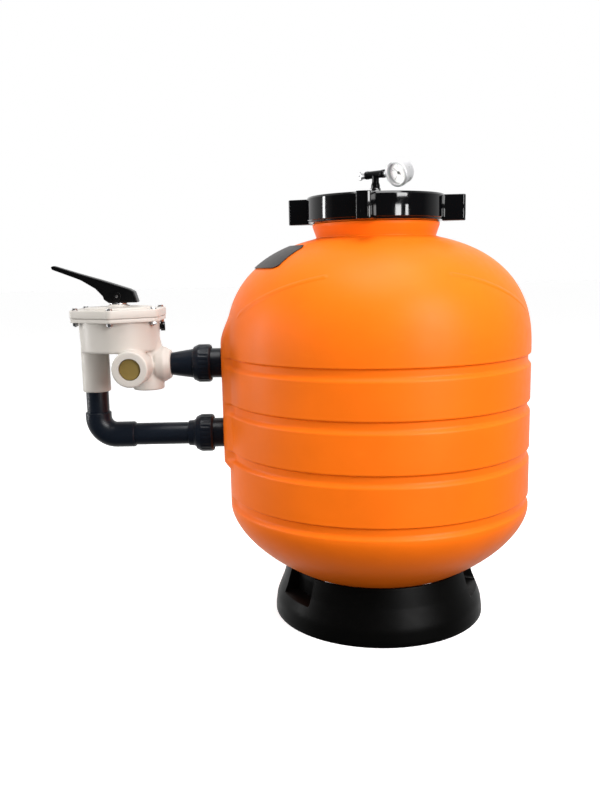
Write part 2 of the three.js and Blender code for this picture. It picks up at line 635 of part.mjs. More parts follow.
function addTee(parent) {
  const stem = [[0, 902], [7.9, 902], [7.9, LID_TOP_Z + 3 + GAP], [12, LID_TOP_Z + 3 + GAP], [12, 922],
    [7.5, 926], [7.5, TEE_Z], [0, TEE_Z]];
  const crossbar = solid(turnedX(rod(8.5, -25, 25), 16).translate(0, 0, TEE_Z));
  const tee = joined(solid(turned(stem, 16)), crossbar);
  const ends = [[-26, -15], [17, 26]].map((x) =>
    solid(turnedX(rod(4.6, ...x), 12).translate(0, 0, TEE_Z)));
  place(parent, "gauge_tee", cut(tee, ...ends), MATERIALS.black);
}

function addBleedScrew(arm) {
  const screw = solid(turnedX([[0, -44], [3, -44], [4.5, -36], [7, -35], [7, -25.3], [4.2, -25.3],
    [4.2, -16], [0, -16]], 12));
  const wing = solid(box([-46, -34], [-2, 2], [-9, 9]));
  place(arm, "bleed_screw", joined(screw, wing), MATERIALS.chrome);
}

// In the gauge's own group the dial faces +Z and the arm comes in from -X.
function addGauge(gauge) {
  const mid = -GAUGE_DEPTH / 2;
  const cup = solid(turned([[0, -GAUGE_DEPTH], [GAUGE_R - 2, -GAUGE_DEPTH], [GAUGE_R, -GAUGE_DEPTH + 2],
    [GAUGE_R, 0], [22, 0], [22, -8], [0, -8]], 20));
  const stemProfile = [[0, -50], [4.3, -50], [4.3, -42.7], [5, -42.7], [5, -38], [8, -38],
    [8, -31], [5, -31], [5, -23], [0, -23]];
  const stem = solid(turnedX(stemProfile, 12).translate(0, 0, mid));
  place(gauge, "gauge_case", joined(cup, stem), MATERIALS.chrome);
  const bezel = [[25.4, -6], [27, -6], [27, 3.5], [25.5, 5], [20.5, 5], [20.5, 2.8], [25.4, 2.8]];
  place(gauge, "gauge_bezel", turned(bezel, 20), MATERIALS.chrome);
  place(gauge, "gauge_lens", turned(rod(24.6, GAP, 2.4), 16), MATERIALS.glass);
  place(gauge, "gauge_dial", turned(tube(1.6, 21.6, -7.6, -6.2), 16), MATERIALS.white);
}

function addPointer(gauge) {
  const hand = joined(
    solid(turned(rod(1.3, -7.5, -3), 8)),
    solid(turned(rod(3.2, -5.6, -4.6), 10)),
    solid(box([-0.7, 0.7], [-5, 16], [-5.5, -4.9])));
  place(gauge, "gauge_pointer", hand, MATERIALS.black).rotation.z = THREE.MathUtils.degToRad(45);
}

// ---------------------------------------------------------------- assembly
const filter = new THREE.Group();
const onAxis = groupAt(filter, FOOTPRINT_SHIFT_X);
addTank(onAxis);
addDrainCap(onAxis);
addInside(onAxis);
addPipework(onAxis);
addUnionNut(onAxis, "upper", UPPER_PORT_Z);
addUnionNut(onAxis, "lower", LOWER_PORT_Z);

const valve = groupAt(onAxis, VALVE_X);
addValveBody(valve);
place(valve, "handle_washer", turned(tube(10.8, 19, 690.3, 693), 16), MATERIALS.steel);
addRotor(valve);
addHandle(valve);

addLid(onAxis);
addLockRing(onAxis);
addTee(onAxis);
const tee = onAxis.getObjectByName("gauge_tee");
tee.rotation.z = THREE.MathUtils.degToRad(ARM_TURN);
const arm = groupAt(onAxis, 0, 0, TEE_Z);
arm.rotation.z = THREE.MathUtils.degToRad(ARM_TURN);
addBleedScrew(arm);

// The dial faces across the arm, towards the tank's front left, and a little down.
const gauge = groupAt(arm, GAUGE_REACH);
gauge.rotation.x = THREE.MathUtils.degToRad(90 + GAUGE_TILT);
const gaugeFace = groupAt(gauge, 0, 0, GAUGE_DEPTH / 2);
addGauge(gaugeFace);
addPointer(gaugeFace);

export default filter;
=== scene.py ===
import math

import bmesh
import bpy
import numpy as np
from mathutils import Matrix, Vector


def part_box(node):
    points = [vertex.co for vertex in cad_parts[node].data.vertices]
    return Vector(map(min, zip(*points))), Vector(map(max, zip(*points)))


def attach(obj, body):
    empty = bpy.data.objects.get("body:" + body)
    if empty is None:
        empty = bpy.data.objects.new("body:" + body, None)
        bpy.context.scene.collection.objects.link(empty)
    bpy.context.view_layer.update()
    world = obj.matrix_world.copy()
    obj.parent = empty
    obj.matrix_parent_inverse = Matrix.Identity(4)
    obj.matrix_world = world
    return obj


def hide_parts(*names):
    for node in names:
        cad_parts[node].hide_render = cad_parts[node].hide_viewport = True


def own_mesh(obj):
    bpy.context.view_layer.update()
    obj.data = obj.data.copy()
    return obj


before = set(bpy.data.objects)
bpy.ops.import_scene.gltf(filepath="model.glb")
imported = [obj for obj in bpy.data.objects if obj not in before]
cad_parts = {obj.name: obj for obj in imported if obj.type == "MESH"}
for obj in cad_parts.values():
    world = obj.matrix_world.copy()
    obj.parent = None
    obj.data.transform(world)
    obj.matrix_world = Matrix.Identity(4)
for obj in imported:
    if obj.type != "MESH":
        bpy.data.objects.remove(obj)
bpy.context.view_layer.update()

# Every shape below is worked out in millimetres, in the frame's own axes, and turned
# into metres when its mesh is made.
MM = 0.001
TAU = 2 * math.pi


# Places, from the frame.
def low(node):
    return np.array(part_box(node)[0]) / MM


def high(node):
    return np.array(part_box(node)[1]) / MM


def middle(node):
    return (low(node) + high(node)) / 2


TANK_X = middle("lid_dome")[0]
VALVE_X = middle("handle_washer")[0]
TANK_R = high("tank_shell")[0] - TANK_X
PAD_REACH = TANK_X - low("tank_shell")[0]
NECK_TOP = high("tank_shell")[2]
TANK_BOTTOM = low("tank_shell")[2]
LUG_LOW = low("lock_ring")[2]
RING_LOW, RING_HIGH = LUG_LOW + 2, high("lock_ring")[2]
UPPER_Z = middle("upper_union_nut")[2]
LOWER_Z = middle("lower_union_nut")[2]
COVER_LOW = low("valve_cover")[2]
BOWL_TOP = high("valve_body")[2]
TEE_R = 8.5
TEE_Z = high("gauge_tee")[2] - TEE_R

TANK_AXIS = Matrix.Translation((TANK_X, 0, 0))
VALVE_AXIS = Matrix.Translation((VALVE_X, 0, 0))


# Outlines.
def smooth(t):
    """0 below t = 0, 1 above t = 1, with a soft start and end between them."""
    t = np.clip(t, 0, 1)
    return t * t * (3 - 2 * t)


def rounded(points, closed=True, steps=5):
    """An outline of (x, y) or (x, y, radius) points, where a corner with a radius becomes an arc."""
    made = []
    count = len(points)
    for i, point in enumerate(points):
        here = np.array(point[:2], float)
        if len(point) < 3 or (not closed and i in (0, count - 1)):
            made.append(here)
            continue
        back = np.array(points[i - 1][:2], float) - here
        onward = np.array(points[(i + 1) % count][:2], float) - here
        room = 0.49 * min(np.linalg.norm(back), np.linalg.norm(onward))
        back /= np.linalg.norm(back)
        onward /= np.linalg.norm(onward)
        half = math.acos(float(np.clip(back @ onward, -0.9999, 0.9999))) / 2
        reach = min(point[2] / math.tan(half), room)
        middle_way = (back + onward) / np.linalg.norm(back + onward)
        centre = here + middle_way * reach / math.cos(half)
        start, end = here + back * reach - centre, here + onward * reach - centre
        sweep = math.pi - 2 * half
        for k in range(steps + 1):
            share = k / steps
            weights = math.sin((1 - share) * sweep), math.sin(share * sweep)
            made.append(centre + (weights[0] * start + weights[1] * end) / math.sin(sweep))
    return np.array(made)


def circle(radius, count=48, centre=(0, 0)):
    turns = np.arange(count) * TAU / count
    return np.stack([centre[0] + radius * np.cos(turns), centre[1] + radius * np.sin(turns)], 1)


def polygon(radius, count, corner, start=0.0, steps=5):
    """A regular polygon with rounded corners, the first of them at a start angle."""
    angles = start + np.arange(count) * TAU / count
    return rounded([(radius * math.cos(a), radius * math.sin(a), corner) for a in angles], steps=steps)


def divided(outline, longest):
    """The closed outline with points added, so that no side is much over the longest length."""
    made = [outline[0]]
    for start, end in zip(outline, np.roll(outline, -1, 0)):
        count = max(1, int(np.linalg.norm(end - start) / longest))
        made += [start + (end - start) * k / count for k in range(1, count + 1)]
    return np.array(made[:-1])


def inset(outline, distance):
    """The closed outline moved inwards by a distance."""
    after = np.roll(outline, -1, 0)
    back = outline - np.roll(outline, 1, 0)
    onward = after - outline
    normals = [np.stack([-side[:, 1], side[:, 0]], 1) for side in (back, onward)]
    normals = [n / np.linalg.norm(n, axis=1, keepdims=True) for n in normals]
    mean = normals[0] + normals[1]
    mean /= (1 + np.sum(normals[0] * normals[1], 1, keepdims=True)).clip(0.3)
    area = np.sum(outline[:, 0] * after[:, 1] - after[:, 0] * outline[:, 1])
    return outline + mean * distance * math.copysign(1, area)


# Shapes: points and faces.
def grid_faces(rows, columns, close_rows):
    """Quads between rows of points, each row a closed loop."""
    count = rows if close_rows else rows - 1
    i, j = np.meshgrid(np.arange(count), np.arange(columns), indexing="ij")
    i2, j2 = (i + 1) % rows, (j + 1) % columns
    corners = (i, j), (i2, j), (i2, j2), (i, j2)
    return np.stack([a * columns + b for a, b in corners], -1).reshape(-1, 4).tolist()


def lathe(profile, segments=96, warp=None, turns=None):
    """(radius, height) points turned about Z: a ring, or a body where both ends are on the axis."""
    profile = np.array([point[:2] for point in profile], float)
    turns = np.arange(segments) * TAU / segments if turns is None else turns
    r, angle = np.meshgrid(profile[:, 0], turns, indexing="ij")
    z = np.repeat(profile[:, 1:], len(turns), 1)
    if warp:
        r, z = warp(r, z, angle)
    points = np.stack([r * np.cos(angle), r * np.sin(angle), z], -1).reshape(-1, 3)
    solid = abs(profile[0, 0]) < 1e-9 and abs(profile[-1, 0]) < 1e-9
    return points, grid_faces(len(profile), len(turns), not solid)


def turned(points, segments=96, warp=None, steps=5):
    """(radius, height, corner radius) points turned about Z, closed unless both ends are on the axis."""
    on_axis = points[0][0] == 0 and points[-1][0] == 0
    return lathe(rounded(points, not on_axis, steps), segments, warp)


def rod(radius, bottom, top, segments):
    return lathe([(0, bottom), (radius, bottom), (radius, top), (0, top)], segments)


def prism(outline, bottom, top, edge=0.0, steps=3):
    """A closed outline raised from one height to another, with its edges rounded over."""
    halves = []
    for side, level in ((1, bottom), (-1, top)):
        half = []
        for k in range(steps + 1) if edge else [steps]:
            bend = (k / steps) * TAU / 4
            ring = inset(outline, edge * (1 - math.sin(bend))) if edge else outline
            height = level + side * edge * (1 - math.cos(bend))
            half.append(np.column_stack([ring, np.full(len(ring), height)]))
        halves.append(half)
    rows = halves[0] + halves[1][::-1]
    columns = len(outline)
    faces = grid_faces(len(rows), columns, False)
    faces.append(list(range(columns)))
    faces.append(list(range((len(rows) - 1) * columns, len(rows) * columns)))
    return np.concatenate(rows), faces


def tube_along(path, radii, segments=40):
    """A round tube along a path of points: each radius is one closed skin, outer then bore."""
    path = np.array(path, float)
    along = np.gradient(path, axis=0)
    along /= np.linalg.norm(along, axis=1, keepdims=True)
    side = np.cross(along, (0, 1, 0))
    side /= np.linalg.norm(side, axis=1, keepdims=True)
    up = np.cross(side, along)
    turns = (np.arange(segments) * TAU / segments)[:, None]
    rings = []
    for skin, radius in enumerate(radii):
        order = range(len(path)) if skin == 0 else range(len(path) - 1, -1, -1)
        for i in order:
            rings.append(path[i] + radius * (np.cos(turns) * side[i] + np.sin(turns) * up[i]))
    return np.concatenate(rings), grid_faces(len(rings), segments, True)


def moved(shape, matrix):
    points, faces = shape
    m = np.array(matrix)
    return points @ m[:3, :3].T + m[:3, 3], faces


def turn(axis, degrees):
    return Matrix.Rotation(math.radians(degrees), 4, axis)


def shift(x=0.0, y=0.0, z=0.0):
    return Matrix.Translation((x, y, z))


UPRIGHT = turn("X", 90)
ALONG_X = turn("Y", 90)
ALONG_Y = turn("X", -90)
SHARP = math.radians(38)


# Meshes and pieces.
def mesh_of(name, shapes):
    points, faces, start = [], [], 0
    for shape_points, shape_faces in shapes:
        points.append(shape_points * MM)
        faces += [[i + start for i in face] for face in shape_faces]
        start += len(shape_points)
    mesh = bpy.data.meshes.new(name)
    mesh.from_pydata(np.concatenate(points).tolist(), [], faces)
    tidy_mesh(mesh)
    return mesh


def shape_of(mesh):
    points = np.array([vertex.co for vertex in mesh.vertices]) / MM
    return points, [list(face.vertices) for face in mesh.polygons]


def tidy_mesh(mesh):
    work = bmesh.new()
    work.from_mesh(mesh)
    bmesh.ops.remove_doubles(work, verts=work.verts, dist=1e-6)
    bmesh.ops.dissolve_degenerate(work, edges=work.edges, dist=1e-7)
    bmesh.ops.recalc_face_normals(work, faces=work.faces)
    for face in work.faces:
        face.smooth = True
    work.to_mesh(mesh)
    work.free()
    mesh.set_sharp_from_angle(angle=SHARP)


def new_object(name, data):
    made = bpy.data.objects.new(name, data)
    bpy.context.scene.collection.objects.link(made)
    return made


def applied(obj):
    """Replaces an object's mesh with what its modifiers make of it."""
    graph = bpy.context.evaluated_depsgraph_get()
    graph.update()
    mesh = bpy.data.meshes.new_from_object(obj.evaluated_get(graph), depsgraph=graph)
    old = obj.data
    obj.modifiers.clear()
    obj.data = mesh
    bpy.data.meshes.remove(old)
    return obj


def cut(obj, shapes):
    """Takes closed shapes out of an object."""
    for shape in shapes:
        tool = new_object("tool", mesh_of("tool", [shape]))
        step = obj.modifiers.new("cut", "BOOLEAN")
        step.operation, step.solver, step.object = "DIFFERENCE", "EXACT", tool
        applied(obj)
        bpy.data.objects.remove(tool)
    return obj


def carved(shape, cuts):
    """A closed shape with others cut out of it."""
    obj = cut(new_object("carved", mesh_of("carved", [shape])), cuts)
    made = shape_of(obj.data)
    bpy.data.objects.remove(obj)
    return made


def join(obj, shapes):
    """Adds closed shapes to an object's mesh, as they are."""
    added = mesh_of("added", shapes)
    work = bmesh.new()
    work.from_mesh(obj.data)
    work.from_mesh(added)
    work.to_mesh(obj.data)
    work.free()
    bpy.data.meshes.remove(added)
    obj.data.set_sharp_from_angle(angle=SHARP)


def moulded(obj, voxel, passes):
    """Melts overlapping shapes into one skin whose inner corners are filleted."""
    step = obj.modifiers.new("skin", "REMESH")
    step.mode, step.voxel_size = "VOXEL", voxel * MM
    step.use_smooth_shade = True
    soft = obj.modifiers.new("soft", "CORRECTIVE_SMOOTH")
    soft.factor, soft.iterations, soft.use_only_smooth = 0.5, passes, True
    return applied(obj)


def finish_piece(obj, material, body, nodes):
    """Gives a piece its material, hides the CAD nodes it stands for and puts it on its body."""
    obj.data.materials.clear()
    obj.data.materials.append(material)
    if nodes:
        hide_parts(*nodes)
    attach(obj, body)
    return obj


def metres(place):
    made = place.copy()
    made.translation *= MM
    return made


def piece(name, shapes, slot, body, place=Matrix(), cuts=(), material=None, nodes=None, added=()):
    """Shapes less their cuts, and others added, for the CAD node of the same name unless told otherwise."""
    obj = cut(new_object(name + "_look", mesh_of(name, shapes)), cuts)
    if added:
        join(obj, added)
    obj.data.transform(metres(place))
    nodes = [name] if nodes is None else nodes
    return finish_piece(obj, material or MATERIALS[slot], body, nodes)


# Materials.
class Nodes:
    """Adds linked nodes to one material or world, whose main node is the one named."""

    def __init__(self, owner, main="Principled BSDF"):
        owner.use_nodes = True
        self.tree = owner.node_tree
        self.main = self.tree.nodes[main]
        self.coordinates = self.add("ShaderNodeTexCoord").outputs
        self.place = self.coordinates["Object"]

    def add(self, kind, inputs=None, **settings):
        node = self.tree.nodes.new(kind)
        for key, value in settings.items():
            setattr(node, key, value)
        for key, value in (inputs or {}).items():
            self.feed(node.inputs[key], value)
        return node

    def set(self, inputs):
        for key, value in inputs.items():
            self.feed(self.main.inputs[key], value)

    def feed(self, socket, value):
        if isinstance(value, bpy.types.NodeSocket):
            self.tree.links.new(value, socket)
        else:
            socket.default_value = value

    def noise(self, per_metre, detail=3.0, rough=0.5, stretch=(1, 1, 1)):
        """Noise from 0 to 1 whose blobs are about 1 / per_metre across."""
        spot = self.add("ShaderNodeMapping", {"Vector": self.place, "Scale": stretch}).outputs["Vector"]
        inputs = {"Vector": spot, "Scale": per_metre, "Detail": detail, "Roughness": rough}
        return self.add("ShaderNodeTexNoise", inputs).outputs["Fac"]

    def ramp(self, value, start, end, low_out=0.0, high_out=1.0):
        inputs = {"Value": value, "From Min": start, "From Max": end, "To Min": low_out,
                  "To Max": high_out}
        return self.add("ShaderNodeMapRange", inputs, interpolation_type="SMOOTHSTEP").outputs["Result"]

    def mix(self, share, a, b):
        node = self.add("ShaderNodeMix", data_type="RGBA")
        for socket, value in ((node.inputs[0], share), (node.inputs[6], a), (node.inputs[7], b)):
            self.feed(socket, value)
        return node.outputs[2]

    def maths(self, operation, a, b):
        node = self.add("ShaderNodeMath", operation=operation)
        self.feed(node.inputs[0], a)
        self.feed(node.inputs[1], b)
        return node.outputs[0]

    def bump(self, height, depth_mm, before=None):
        node = self.add("ShaderNodeBump", {"Height": height, "Strength": 1.0, "Distance": depth_mm * MM})
        if before is not None:
            self.feed(node.inputs["Normal"], before)
        return node.outputs["Normal"]


def shade(colour, factor):
    return tuple(min(1.0, c * factor) for c in colour) + (1.0,)


def moulding(name, colour, roughness, vary=0.05, peel=(420, 0.02), grain=(2600, 0.004), scuffs=0.08,
             shine=0.5, metallic=0.0):
    """Moulded plastic or metal: cloudy colour, orange-peel skin, fine grain and faint rubbed scuffs."""
    material = bpy.data.materials.new(name)
    n = Nodes(material)
    cloud = n.ramp(n.noise(9, 4), 0.3, 0.7)
    base = n.mix(cloud, shade(colour, 1 - vary), shade(colour, 1 + vary))
    rub = n.ramp(n.noise(26, 6, 0.62, (1, 1, 3.5)), 0.58, 0.74)
    scuffed = n.mix(n.maths("MULTIPLY", rub, scuffs), base, shade(colour, 1.5))
    mottled = n.ramp(n.noise(60, 4), 0.25, 0.75, roughness - 0.03, roughness + 0.03)
    worn = n.maths("ADD", mottled, n.maths("MULTIPLY", rub, 0.6 * scuffs))
    skin = n.bump(n.noise(peel[0], 2), peel[1])
    skin = n.bump(n.noise(grain[0], 2), grain[1], skin)
    n.set({"Base Color": scuffed, "Roughness": worn, "Normal": skin})
    n.set({"Specular IOR Level": shine, "Metallic": metallic})
    return material


def clear_window(name):
    """A thin clear window: nearly all of it is see-through, and the rest is its gloss."""
    material = bpy.data.materials.new(name)
    n = Nodes(material)
    tint = n.mix(n.noise(60), (0.90, 0.93, 0.94, 1), (0.97, 0.98, 0.98, 1))
    haze = n.ramp(n.noise(90, 4), 0.4, 0.8, 0.02, 0.08)
    n.set({"Base Color": tint, "Alpha": 0.04, "Roughness": haze, "Normal": n.bump(n.noise(70, 2), 0.01)})
    return material


# Each one's numbers: colour, roughness, how far the colour varies, then the blobs per metre and the
# depth in mm of its orange-peel skin and of its grain, and how strongly it is scuffed.
MATERIALS = {
    "tank_plastic": moulding("orange_polyethylene", (0.92, 0.164, 0.006), 0.42, 0.03, (160, 0.05),
                             (1500, 0.006), shine=0.13),
    "stand_plastic": moulding("satin_black_plastic", (0.0016, 0.0016, 0.0015), 0.40, 0.1, (300, 0.02),
                              (1900, 0.01), 0.05, shine=0.08),
    "label_film": moulding("dark_film", (0.03, 0.026, 0.025), 0.5, 0.2, (500, 0.006)),
    "black_plastic": moulding("gloss_black_plastic", (0.0014, 0.0015, 0.002), 0.07, 0.1, (120, 0.006),
                              (2200, 0.0006), 0.03),
    "seal_rubber": moulding("black_rubber", (0.012, 0.012, 0.012), 0.75, 0.1, (700, 0.02)),
    "valve_plastic": moulding("cream_abs", (0.60, 0.56, 0.51), 0.38, 0.02, (220, 0.012),
                              (2000, 0.004), 0.02, shine=0.4),
    "port_plug_plastic": moulding("olive_plug", (0.225, 0.155, 0.04), 0.5, 0.14, (260, 0.04)),
    "steel": moulding("stainless", (0.50, 0.50, 0.51), 0.3, 0.05, (900, 0.006), metallic=1.0),
    "bright_metal": moulding("plated_metal", (0.78, 0.78, 0.79), 0.3, 0.03, (500, 0.004), metallic=0.6),
    "gauge_glass": clear_window("gauge_window"),
    "dial_face": moulding("dial_white", (0.97, 0.97, 0.96), 0.5, 0.02, (600, 0.003), scuffs=0.0),
    "inner_plastic": moulding("natural_pvc", (0.66, 0.65, 0.60), 0.45, 0.05, (300, 0.015)),
}
LEVER_BLACK = moulding("lever_black_plastic", (0.0022, 0.0022, 0.0025), 0.32, 0.12, (240, 0.02),
                       (1700, 0.006), 0.05, shine=0.2)
PIPE_BLACK = moulding("pipe_black_plastic", (0.0055, 0.0085, 0.0145), 0.34, 0.15, (240, 0.02),
                      (1700, 0.006), 0.06, shine=0.3)
DIAL_INK = moulding("dial_ink", (0.012, 0.012, 0.014), 0.5, 0.1)


def emboss_shoulder(material, slope=0.62, level=0.590, gap=0.11, front=-0.12, half_width=0.008):
    """Two raised lines where a slanting plane meets the shoulder, left and right of the tank's middle."""
    n = Nodes(material)
    x, y, z = n.add("ShaderNodeSeparateXYZ", {"Vector": n.place}).outputs
    height = n.maths("ADD", z, n.maths("MULTIPLY", y, slope))
    off_plane = n.maths("ABSOLUTE", n.maths("SUBTRACT", height, level), 0)
    off_middle = n.maths("ABSOLUTE", n.maths("SUBTRACT", x, TANK_X * MM), 0)
    ends = n.maths("MULTIPLY", n.ramp(off_middle, gap, gap + 0.01),
                   n.ramp(y, front - 0.01, front, 1.0, 0.0))
    line = n.maths("MULTIPLY", n.ramp(off_plane, 0.001, half_width, 1.0, 0.0), ends)
    plain = n.main.inputs["Normal"].links[0].from_socket
    n.feed(n.main.inputs["Normal"], n.bump(line, 1.5, plain))


emboss_shoulder(MATERIALS["tank_plastic"])


# Tank.
WALL = 8.0
DOME_START, DOME_POWER = 588.0, 2.44
DOME_RISE = 242.0
SUMP_START, SUMP_POWER = 250.0, 1.64
SUMP_RISE = TANK_BOTTOM - SUMP_START
GROOVES = (268, 368, 469, 566)
GROOVE_HALF, GROOVE_DEPTH = 13.5, 6.0
NECK_R, NECK_LIP, NECK_THREAD, NECK_BORE = 126.5, 134.4, 130.2, 118.0
PAD_HALF, PAD_LOW, PAD_HIGH = 50.0, 342.0, 646.0
DRAIN_FACE, DRAIN_Z = 278.0, middle("drain_cap")[2]
THREAD_PITCH, THREAD_DEPTH = 9.0, 1.8


def dome(start, rise, power, offset, inner, count):
    """Points from the full radius in to an inner radius, on a superellipse."""
    full, rise = TANK_R - offset, rise - math.copysign(offset, rise)
    last = math.acos((inner / full) ** (power / 2))
    angles = np.linspace(0, last, count)
    r = full * np.cos(angles) ** (2 / power)
    r[-1] = inner
    return np.column_stack([r, start + rise * np.sin(angles) ** (2 / power)])


def dome_radius(z):
    level = ((z - DOME_START) / DOME_RISE).clip(0, 1) ** DOME_POWER
    return TANK_R * (1 - level) ** (1 / DOME_POWER)


def tank_rows():
    """The tank's profile from the bottom up the outside, over the neck's rim and down the inside."""
    sump = dome(SUMP_START, SUMP_RISE, SUMP_POWER, 0, 0, 56)[::-1]
    heights = [np.linspace(SUMP_START, DOME_START, 44)]
    heights += [np.linspace(z - GROOVE_HALF - 3, z + GROOVE_HALF + 2, 24) for z in GROOVES]
    side = np.unique(np.round(np.concatenate(heights), 3))[1:]
    wall = np.column_stack([np.full(len(side), TANK_R), side])
    shoulder = dome(DOME_START, DOME_RISE, DOME_POWER, 0, NECK_R + 9, 64)[1:]
    neck_foot = dome(DOME_START, DOME_RISE, DOME_POWER, 0, NECK_R, 3)[-1][1]
    neck = rounded([tuple(shoulder[-1]), (NECK_R, neck_foot + 1, 9), (NECK_R + 0.8, 824, 40),
                    (NECK_LIP - 0.5, 843, 10), (NECK_LIP, RING_LOW - 3, 1.5),
                    (NECK_THREAD, RING_LOW - 1)], closed=False)[1:]
    threads = np.column_stack([np.full(40, NECK_THREAD), np.linspace(RING_LOW, NECK_TOP - 3, 40)])
    rim = rounded([(NECK_THREAD, NECK_TOP - 2.5), (NECK_THREAD, NECK_TOP, 2), (NECK_BORE, NECK_TOP, 2),
                   (NECK_BORE, NECK_TOP - 5)], closed=False)
    outside = np.concatenate([sump, wall, shoulder, neck, threads, rim])
    inner_dome = dome(DOME_START, DOME_RISE, DOME_POWER, WALL, NECK_BORE, 24)[::-1]
    inner_sump = dome(SUMP_START, SUMP_RISE, SUMP_POWER, WALL, 0, 24)
    return outside, np.concatenate([inner_dome, inner_sump])


def tank_warp(outside_rows):
    """Adds the port pad's broad swelling, the grooves and the neck's thread to the tank's outside."""
    def warp(r, z, angle):
        skin = np.zeros_like(r)
        skin[:outside_rows] = 1
        away = np.abs(TANK_R * np.sin(angle)) + 400 * (np.cos(angle) > 0)
        flat = PAD_REACH / np.abs(np.cos(angle)).clip(0.5)
        mask = smooth((PAD_HALF + 50 - away) / 56) * smooth((z - PAD_LOW + 6) / 14)
        mask = mask * smooth((PAD_HIGH + 20 - z) / 62)
        raised = mask * (flat - r).clip(0)
        wall = (z > SUMP_START) & (z < DOME_START)
        offsets = [z - centre for centre in GROOVES]
        groove = sum(smooth((GROOVE_HALF - d) / 4.5) * smooth((d + GROOVE_HALF) / 11) for d in offsets)
        depth = GROOVE_DEPTH * groove * wall * (1 - smooth((PAD_HALF + 56 - away) / 50))
        on_thread = smooth((z - RING_LOW) / 5) * smooth((NECK_TOP - 6 - z) / 4) * (r > NECK_THREAD - 1)
        phase = (z / THREAD_PITCH - angle / TAU) % 1
        thread = THREAD_DEPTH * on_thread * smooth(2.2 * (1 - np.abs(2 * phase - 1)) - 0.4)
        return r + skin * (raised - depth + thread), z
    return warp


def pad_turns(uniform=288, span=20.0, fine=48):
    """Evenly spread directions, closer together over the pad on the -X side."""
    even = np.arange(uniform) * TAU / uniform
    near = math.pi + np.radians(np.linspace(-span, span, fine))
    far = even[np.abs(even - math.pi) > math.radians(span) + 0.3 * TAU / uniform]
    return np.sort(np.concatenate([far, near]))


def make_tank():
    outside, inside = tank_rows()
    shape = lathe(np.concatenate([outside, inside]), warp=tank_warp(len(outside)), turns=pad_turns())
    boss = turned([(15, 232), (24, 232), (24, DRAIN_FACE, 2), (15, DRAIN_FACE, 1)], 64)
    shapes = [shape, moved(boss, shift(0, 0, DRAIN_Z) @ ALONG_Y)]
    piece("tank_shell", shapes, "tank_plastic", "tank", TANK_AXIS)


# Stand.
FOOT_R, STAND_TOP_R, SEAT_GAP = 231.0, 197.0, 0.8
WINDOWS = ((-163, -137), (-30, -4), (83, 109))
WINDOW_SILL, WINDOW_BACK, WINDOW_EDGE = 62.0, 188.0, 0.9


def sump_height(r):
    return SUMP_START + SUMP_RISE * (1 - (r / TANK_R) ** SUMP_POWER) ** (1 / SUMP_POWER)


def stand_rows():
    rim, seat, inner = [(r, sump_height(r) - SEAT_GAP) for r in (STAND_TOP_R + 3, 188, 178)]
    skirt = rounded([(224, 0, 1.5), (FOOT_R, 0, 2), (FOOT_R, 9, 4), (228, 34, 60), (212, 74, 60),
                     (202, 108, 8), rim + (2.5,), seat + (2,), inner + (1,), (178, 0, 1), (185, 0, 1),
                     (185, 92, 3), (193, 98, 2), (206, 72, 30), (221, 34, 30)], steps=6)
    return divided(skirt, 4)


def stand_warp(r, z, angle):
    degrees = np.degrees((angle + math.pi) % TAU - math.pi)
    window = 0
    for start, end in WINDOWS:
        past_start = smooth((degrees - start) / WINDOW_EDGE + 0.5)
        window = window + past_start * smooth((end - degrees) / WINDOW_EDGE + 0.5)
    share = window * smooth((z - WINDOW_SILL + 3) / 3)
    return r - share * (r - WINDOW_BACK).clip(0), z


def make_stand():
    edges = np.concatenate([np.linspace(e - 0.8, e + 0.8, 7) for window in WINDOWS for e in window])
    turns = np.unique(np.round(np.concatenate([np.arange(0, 360, 1.5), edges % 360]), 3))
    shape = lathe(stand_rows(), warp=stand_warp, turns=np.radians(turns))
    piece("base_stand", [shape], "stand_plastic", "tank", TANK_AXIS)


make_tank()
make_stand()


# Label on the shoulder.
LABEL_TURNS = (-196, -144)
LABEL_LOW, LABEL_HIGH = low("shoulder_label")[2], high("shoulder_label")[2]


def make_label(lift=0.9, thickness=1.1, columns=36, rows=18, corner=0.12):
    """A thin plate with rounded corners that follows the shoulder; it carries no print."""
    half_turn = math.radians(LABEL_TURNS[1] - LABEL_TURNS[0]) / 2
    centre = math.radians(sum(LABEL_TURNS) / 2)
    skins = []
    for out in (lift, lift + thickness):
        u, v = np.meshgrid(np.linspace(-1, 1, columns), np.linspace(-1, 1, rows), indexing="ij")
        squeeze = 1 - corner * smooth((np.abs(v) - 0.72) / 0.28) ** 2
        angle = centre + half_turn * u * squeeze
        z = (LABEL_LOW + LABEL_HIGH) / 2 + (LABEL_HIGH - LABEL_LOW - 3) / 2 * v
        r = dome_radius(z) + out
        skins.append(np.stack([r * np.cos(angle), r * np.sin(angle), z + out], -1).reshape(-1, 3))
    count = columns * rows
    i, j = np.meshgrid(np.arange(columns - 1), np.arange(rows - 1), indexing="ij")
    corners = (0, 0), (1, 0), (1, 1), (0, 1)
    quad = np.stack([(i + a) * rows + j + b for a, b in corners], -1).reshape(-1, 4)
    rim = [a * rows for a in range(columns)] + [(columns - 1) * rows + b for b in range(1, rows)]
    rim += [a * rows + rows - 1 for a in range(columns - 2, -1, -1)] + list(range(rows - 2, 0, -1))
    walls = [[a, b, b + count, a + count] for a, b in zip(rim, rim[1:] + rim[:1])]
    faces = quad.tolist() + (quad[:, ::-1] + count).tolist() + walls
    piece("shoulder_label", [(np.concatenate(skins), faces)], "label_film", "tank", TANK_AXIS)


# Lid and lock ring.
RING_R = 147.0
RING_TURN = -102.7
LUG_REACH = 187.0
LID_R = 131.3


